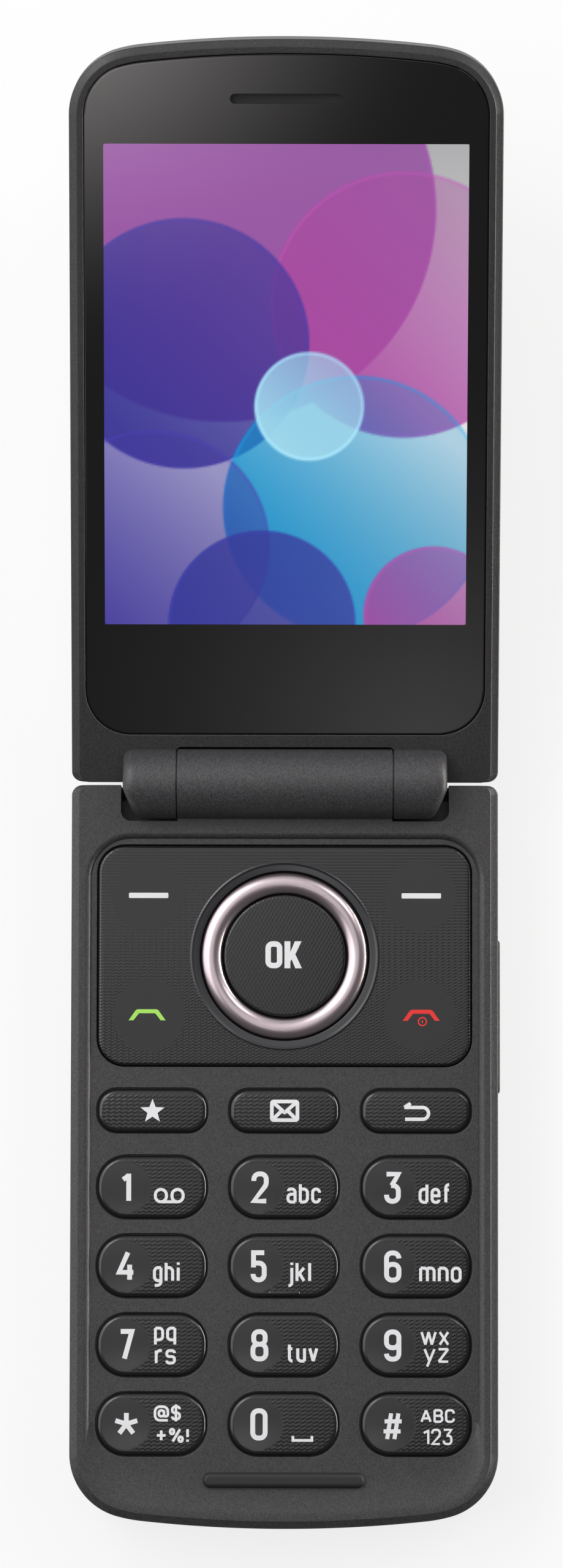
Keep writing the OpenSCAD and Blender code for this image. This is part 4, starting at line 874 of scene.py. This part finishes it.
class PHONE_OT_keys(bpy.types.Operator):
    """Builds the fifteen keys, pillows with a relief of zigzag lines

    The relief is h = relief cos(pi (y + 0.24 w) / 0.49)^6, with w a triangle wave along x of period 0.77"""

    bl_idname = "phone.keys"
    bl_label = "Keys"

    def execute(self, context):
        s = sizes()
        step, period, swing, pitch = 0.085, 0.77, 0.24, 0.49
        skirt, foot, flange = 8.45, 7.95, 0.64
        margin, digit, around = 0.45, -3.4, 3.2  # smooth along the edge and around each digit
        for name, (cx, cv), w, h, r in key_layout(s.key_clear):
            y = np.linspace(-h / 2, h / 2, int(h / step))[:, None]
            over = np.clip(np.abs(y) - h / 2 + r, 0, r)
            x = (w / 2 - r + np.sqrt(r * r - over**2)) * np.linspace(-1, 1, int(w / step))
            y = y + 0 * x
            wave = 2 * np.abs((x / period) % 1 - 0.5)
            lines = (0.5 + 0.5 * np.cos(2 * np.pi * (y + swing * wave) / pitch)) ** 3
            lines *= np.clip((key_depth(x, y, w, h, r) - margin) / 0.3, 0, 1)
            if name not in KEY_ROWS[0]:
                lines *= np.clip((np.hypot(x - digit, y) - around) / 0.25, 0, 1)
            z = key_surface(x, y, w, h, r, s.key_top) + s.relief * lines
            top = np.stack([x + cx, cv - y, z], -1)
            skin = Skin().grid(top, wrap=False)
            ring = border(top)
            low = ring * (1, 1, 0)
            wide = low + (low - (cx, cv, 0)) * (flange / w, flange / h, 0)
            sides = [ring, low + (0, 0, skirt), wide + (0, 0, skirt), wide + (0, 0, foot)]
            skin.grid(np.stack(sides), ends="b")
            node = f"key_{name}"
            dress(skin.piece(f"{node}_cap", on_base, 50), node, [node], "keys")
        return {"FINISHED"}


class PHONE_OT_legends(bpy.types.Operator):
    """Prints the legends of the keys, panel and middle button"""

    bl_idname = "phone.legends"
    bl_label = "Legends"

    def execute(self, context):
        s = sizes()
        lift, panel, button = s.relief + 0.02, 10.0, 10.06

        def over(cx, cv):
            return lambda p: on_base(p * (1, -1, 1) + (cx, cv, 0))

        def level(height):
            return lambda x, y: 0 * x + height

        for name, (cx, cv), w, h, r in key_layout(s.key_clear):
            surface = partial(key_surface, w=w, h=h, r=r, top=s.key_top)
            skin = Skin()
            for run in LEGENDS.get(name, []):
                write(skin, *run, surface, lift)
            if name == "favourites":
                points = np.arange(10)
                a, far = np.pi / 2 + np.pi / 5 * points, 1.62 * np.where(points % 2, 0.42, 1)
                star = far[:, None] * np.stack([np.cos(a), np.sin(a)], -1)
                rows = [np.column_stack([star, surface(*star.T) + d]) for d in (-SUNK, lift)]
                skin.grid(np.stack(rows) + (0, -0.08, 0), ends="ab")
            dress(skin.piece(f"legend_{name}", over(cx, cv)), f"key_{name}", [], "legend")
            if name == "5":
                bar, half, bend = Skin(), 1.68, 0.45
                t = np.linspace(0.1, np.pi - 0.1, 24)
                x = -half * np.sign(np.cos(t)) - bend * np.cos(t)
                rod(bar, x, bend * np.sin(t), -3.4, 9.68, n=32)
                dress(bar.piece("tactile_bar", over(cx, cv)), "key_5", [], "keys")

        arch = np.array([(0, 0), (0.19, 0.9), (0.24, 1), (0.76, 1), (0.81, 0.9), (1, 0), (0.87, 0), (0.72, 0.64),
                         (0.28, 0.64), (0.13, 0)]) * (4.76, 1.42) - (2.38, 0)
        dash = rounded(5.08, 0.68, 0.14)
        for name, ink, shapes in (
            ("soft_marks", "legend", [dash + (-17.55, 7.75), dash + (17.6, 7.75)]),
            ("call_mark", "call", [arch + (-17.7, -8.35)]),
            ("end_mark", "end", [arch + (17.6, -8.35)]),
        ):
            skin = Skin()
            for shape in shapes:
                skin.block(shape, panel - SUNK, panel + 0.03)
            if name == "end_mark":
                write(skin, ["ring"], 17.15, 18.35, -9.05, 1.2, 0.16, level(panel))
            dress(skin.piece(name, over(0, s.panel_v)), "nav_panel", [], ink)
        skin = Skin()
        base, height = -1.62, 3.48
        write(skin, "O", -2.48, -0.3, base, height, 0.7, level(button))
        letter = np.array([(0, 0), (0, 1), (0.216, 1), (0.216, 0.6), (0.38, 1), (0.63, 1), (0.4, 0.52), (0.645, 0),
                           (0.4, 0), (0.265, 0.33), (0.216, 0.25), (0.216, 0)]) * height + (-0.02, base)
        skin.block(letter, panel - SUNK, button + 0.03)
        dress(skin.piece("ok_mark", over(0, s.panel_v)), "ok_button", [], "legend")
        return {"FINISHED"}


class PHONE_OT_navigation(bpy.types.Operator):
    """Builds the navigation panel, its ring and the middle button

    The ring's crown is z = 10.27 - 1.65 (1 - cos t), the button's dome z = 10.07 - 0.12 (r / 7.5)^2"""

    bl_idname = "phone.navigation"
    bl_label = "Navigation"

    def execute(self, context):
        s = sizes()
        foot, face = 8.65, 10.0
        a = np.linspace(0, 2 * np.pi, 288, endpoint=False)
        way = np.stack([np.cos(a), np.sin(a)], -1)

        def box_ring(inset):
            """The panel's outline where the rays of its circles meet it"""
            w, h, r = s.panel_width / 2 - inset, s.panel_height / 2 - inset, max(3.6 - inset, 0.2)
            c, d = np.abs(way), np.array([w - r, h - r])
            with np.errstate(divide="ignore"):
                flat = np.minimum(w / c[:, 0], h / c[:, 1])
            dot = c @ d
            turn = dot + np.sqrt(np.maximum(dot**2 - d @ d + r * r, 0))
            corner = np.all(c * flat[:, None] > d, 1)
            return way * np.where(corner, turn, flat)[:, None]

        def circles(r, z):
            return stack(np.reshape(r, (-1, 1, 1)) * way, z)

        def build(name, node, look, rings, ends=""):
            skin = Skin().grid(rings + (0, s.panel_v, 0), ends=ends)
            dress(skin.piece(name, on_base), node, [node], look)

        side = track([(s.key_clear, foot, 0), (s.key_clear, face, 0.45), (1.2, face, 0)])
        rings = stack(np.stack([box_ring(i) for i in side[:, 0]]), side[:, 1])
        hole = track([(12.25, face, 0), (12.18, face, 0), (11.98, 10.11, 0.05), (11.72, 9.95, 0.1),
                      (10.95, 9.87, 0.1), (10.95, foot, 0)])
        rings = np.concatenate([rings, circles(*hole.T), rings[:1]])
        build("nav_panel_face", "nav_panel", "panel_weave", rings)

        t = np.radians(np.linspace(-52, 52, 33))
        middle, half, crown, bend = 9.4, 1.3, 10.27, 1.65
        r = middle + half * np.concatenate([[-1], np.sin(t) / np.sin(t[-1]), [1, -1]])
        z = np.concatenate([[foot], crown - bend * (1 - np.cos(t)), [foot, foot]])
        build("nav_ring_band", "nav_ring", "ring", circles(r, z))

        t = np.linspace(0, np.pi / 2, 9)
        edge, ease, span = 7.5, 0.35, np.linspace(7.2, 0.4, 8)
        r = np.concatenate([[edge + ease], edge + ease * np.cos(t), span])
        z = np.concatenate([[foot], 9.6 + ease * np.sin(t), 10.07 - 0.12 * (span / edge) ** 2])
        build("ok_button_cap", "ok_button", "button_weave", circles(r, z), "ab")
        return {"FINISHED"}


class PHONE_OT_small_parts(bpy.types.Operator):
    """Builds the closing bumper, volume key, battery door, outer lens and camera window"""

    bl_idname = "phone.small_parts"
    bl_label = "Small parts"

    def execute(self, context):
        s = sizes()

        def slab(shape, start, end, edge):
            """A block over a rounded rectangle, rounded along the edge at its end"""
            side = track([(0, start, 0), (0, end, edge), (edge * 1.2, end, 0)])
            return Skin().grid(profile(shape, side), ends="ab")

        bumper = slab((20.8, 1.95, 0.97, 0, 89.375), s.floor, 10.5, 0.6).piece("bumper_bar", on_base)
        dress(bumper, "base", ["closing_bumper"], "rubber")
        door = slab(DOOR, 1, 0, 0.15).piece("battery_door_skin", on_base)
        dress(door, "base", ["battery_door"], "case")
        back, thick = -s.lid_thick, 0.9
        for name, node, shape in (
            ("outer_lens_pane", "outer_lens", OUTER_LENS),
            ("camera_pane", "camera_window", CAMERA),
        ):
            pane = slab(shape, back + thick, back, 0.2).piece(name, on_lid)
            dress(pane, "lid", [node], "lens")
        root, face = 25.9, 27.9
        side = track([(0, root, 0), (0, face, 0.35), (0.45, face, 0)])
        rocker = Skin().grid(profile(ROCKER, side)[..., [2, 0, 1]], ends="ab")
        dress(rocker.piece("volume_rocker", on_base), "volume_key", ["volume_key"], "case")
        return {"FINISHED"}


class PHONE_OT_stage(bpy.types.Operator):
    """Sets the floor, lights, world and camera"""

    bl_idname = "phone.stage"
    bl_label = "Stage"

    def execute(self, context):
        scene = context.scene
        mesh = bpy.data.meshes.new("floor")
        wide, low = 3, -2e-5
        corners = [(-wide, -wide, low), (wide, -wide, low), (wide, wide, low), (-wide, wide, low)]
        mesh.from_pydata(corners, [], [(0, 1, 2, 3)])
        floor = placed("floor", mesh)
        paper = finish("paper", paint("floor"), 0.9, blotch=0.01, cell=40)
        mesh.materials.append(paper)
        rays = ["Is Camera Ray", "Is Glossy Ray", "Is Transmission Ray"]
        shader = paper.node_tree.nodes["Principled BSDF"]
        self.whiten(paper, "ShaderNodeEmission", "Material Output", shader, 0.8, rays)
        world = bpy.data.worlds.new("studio")
        scene.world = world
        world.use_nodes = True
        sky = world.node_tree.nodes["Background"]
        sky.inputs["Color"].default_value, sky.inputs["Strength"].default_value = (1, 1, 1, 1), 0.1
        self.whiten(world, "ShaderNodeBackground", "World Output", sky, 1.0, rays[:1])
        aim = Vector((0, AXIS_Y / 1000, 0.01))
        for name, place, wide, tall, power, tint in (
            ("left_box", (-0.75, 0.3, 0.6), 1.2, 1.05, 7.5, (1, 1, 1)),
            ("right_box", (0.85, 0.2, 0.11), 0.9, 0.13, 8.0, (1, 0.98, 0.92)),
            ("back_box", (0.1, 1.1, 0.62), 1.8, 0.75, 2.2, (1, 1, 1)),
            ("back_left", (-0.48, 0.57, 0.68), 0.35, 0.25, 1.5, (1, 1, 1)),
            ("back_right", (0.52, 0.57, 0.68), 0.35, 0.25, 1.5, (1, 1, 1)),
            ("ceiling", (-0.35, 0.45, 1.05), 1.2, 1.05, 3.8, (1, 0.99, 1)),
        ):
            data = bpy.data.lights.new(name, "AREA")
            data.shape, data.size, data.size_y, data.energy, data.color = "RECTANGLE", wide, tall, power, tint
            lamp = placed(name, data)
            turn = (aim - Vector(place)).to_track_quat("-Z", "Y").to_matrix().to_4x4()
            if name == "ceiling":  # level, facing straight down
                turn = Matrix.Identity(4)
            lamp.matrix_world = Matrix.Translation(place) @ turn
        self.glow_panel()

        data = bpy.data.cameras.new("camera")
        data.sensor_fit, data.sensor_height, data.lens = "VERTICAL", 36, 137
        data.clip_start = 0.01
        camera = placed("camera", data)
        back, roll, distance = np.radians(3.9), 0.0019, 0.77
        target = Vector((-0.00045, AXIS_Y / 1000, AXIS_Z / 1000))
        place = target + distance * Vector((0, -np.sin(back), np.cos(back)))
        turn = Matrix.Rotation(back, 4, "X") @ Matrix.Rotation(roll, 4, "Z")
        camera.matrix_world = Matrix.Translation(place) @ turn
        scene.camera = camera
        scene.view_settings.view_transform = "Standard"
        return {"FINISHED"}

    def glow_panel(self):
        """A softly fading panel overhead, seen only in reflections: strength (1 - d/R)^2 about two spots"""
        mesh = bpy.data.meshes.new("glow_panel")
        mesh.from_pydata([(-0.3, -0.7, 1), (0.3, -0.7, 1), (0.3, 0, 1), (-0.3, 0, 1)], [], [(0, 3, 2, 1)])
        panel = placed("glow_panel", mesh)
        panel.visible_camera = panel.visible_diffuse = panel.visible_shadow = False
        look = bpy.data.materials.new("glow_panel")
        look.use_nodes = True
        maths = partial(calculate, look)
        place = add_node(look, "ShaderNodeTexCoord").outputs["Object"]
        total = 0.18
        for spot, radius, strength in (((-0.075, -0.165, 1), 0.125, 7.6), ((0.045, -0.42, 1), 0.13, 1.0)):
            far = add_node(look, "ShaderNodeVectorMath", {0: place, 1: spot}, operation="DISTANCE").outputs["Value"]
            fall = maths("POWER", ranged(look, far, 0.0, radius, 1.0, 0.0), 2.0)
            total = maths("ADD", maths("MULTIPLY", fall, strength), total)
        light = add_node(look, "ShaderNodeEmission", {"Color": (1, 0.96, 0.95, 1), "Strength": total})
        look.node_tree.links.new(light.outputs[0], look.node_tree.nodes["Material Output"].inputs["Surface"])
        mesh.materials.append(look)

    def whiten(self, owner, kind, output, under, share, rays):
        """Shows a surface or the world white to some rays, keeping the rest of its own shading"""
        maths = partial(calculate, owner)
        path = add_node(owner, "ShaderNodeLightPath").outputs
        seen = path[rays[0]]
        for ray in rays[1:]:
            seen = maths("MAXIMUM", seen, path[ray])
        glow = add_node(owner, kind, {"Color": (1, 1, 1, 1), "Strength": 1})
        shaders = {0: maths("MULTIPLY", seen, share), 1: under.outputs[0], 2: glow.outputs[0]}
        mixed = add_node(owner, "ShaderNodeMixShader", shaders)
        owner.node_tree.links.new(mixed.outputs[0], owner.node_tree.nodes[output].inputs["Surface"])


STEPS = [
    PHONE_OT_finishes, PHONE_OT_base_shell, PHONE_OT_lid_shell, PHONE_OT_lens, PHONE_OT_keys,
    PHONE_OT_legends, PHONE_OT_navigation, PHONE_OT_small_parts, PHONE_OT_stage,
]


class PHONE_PT_sidebar(bpy.types.Panel):
    """Lists the steps that build the phone"""

    bl_label = "Folding phone"
    bl_idname = "PHONE_PT_sidebar"
    bl_space_type = "VIEW_3D"
    bl_region_type = "UI"
    bl_category = "Phone"

    def draw(self, context):
        for step in STEPS:
            self.layout.operator(step.bl_idname)


CLASSES = [PhoneSizes, PhoneColours, *STEPS, PHONE_PT_sidebar]


def register():
    for item in CLASSES:
        bpy.utils.register_class(item)
    bpy.types.Scene.phone_sizes = PointerProperty(type=PhoneSizes)
    bpy.types.Scene.phone_colours = PointerProperty(type=PhoneColours)


def unregister():
    del bpy.types.Scene.phone_colours
    del bpy.types.Scene.phone_sizes
    for item in reversed(CLASSES):
        bpy.utils.unregister_class(item)


def main():
    register()
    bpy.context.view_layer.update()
    for step in STEPS:
        group, name = step.bl_idname.split(".")
        getattr(getattr(bpy.ops, group), name)()


if __name__ == "__main__":
    main()
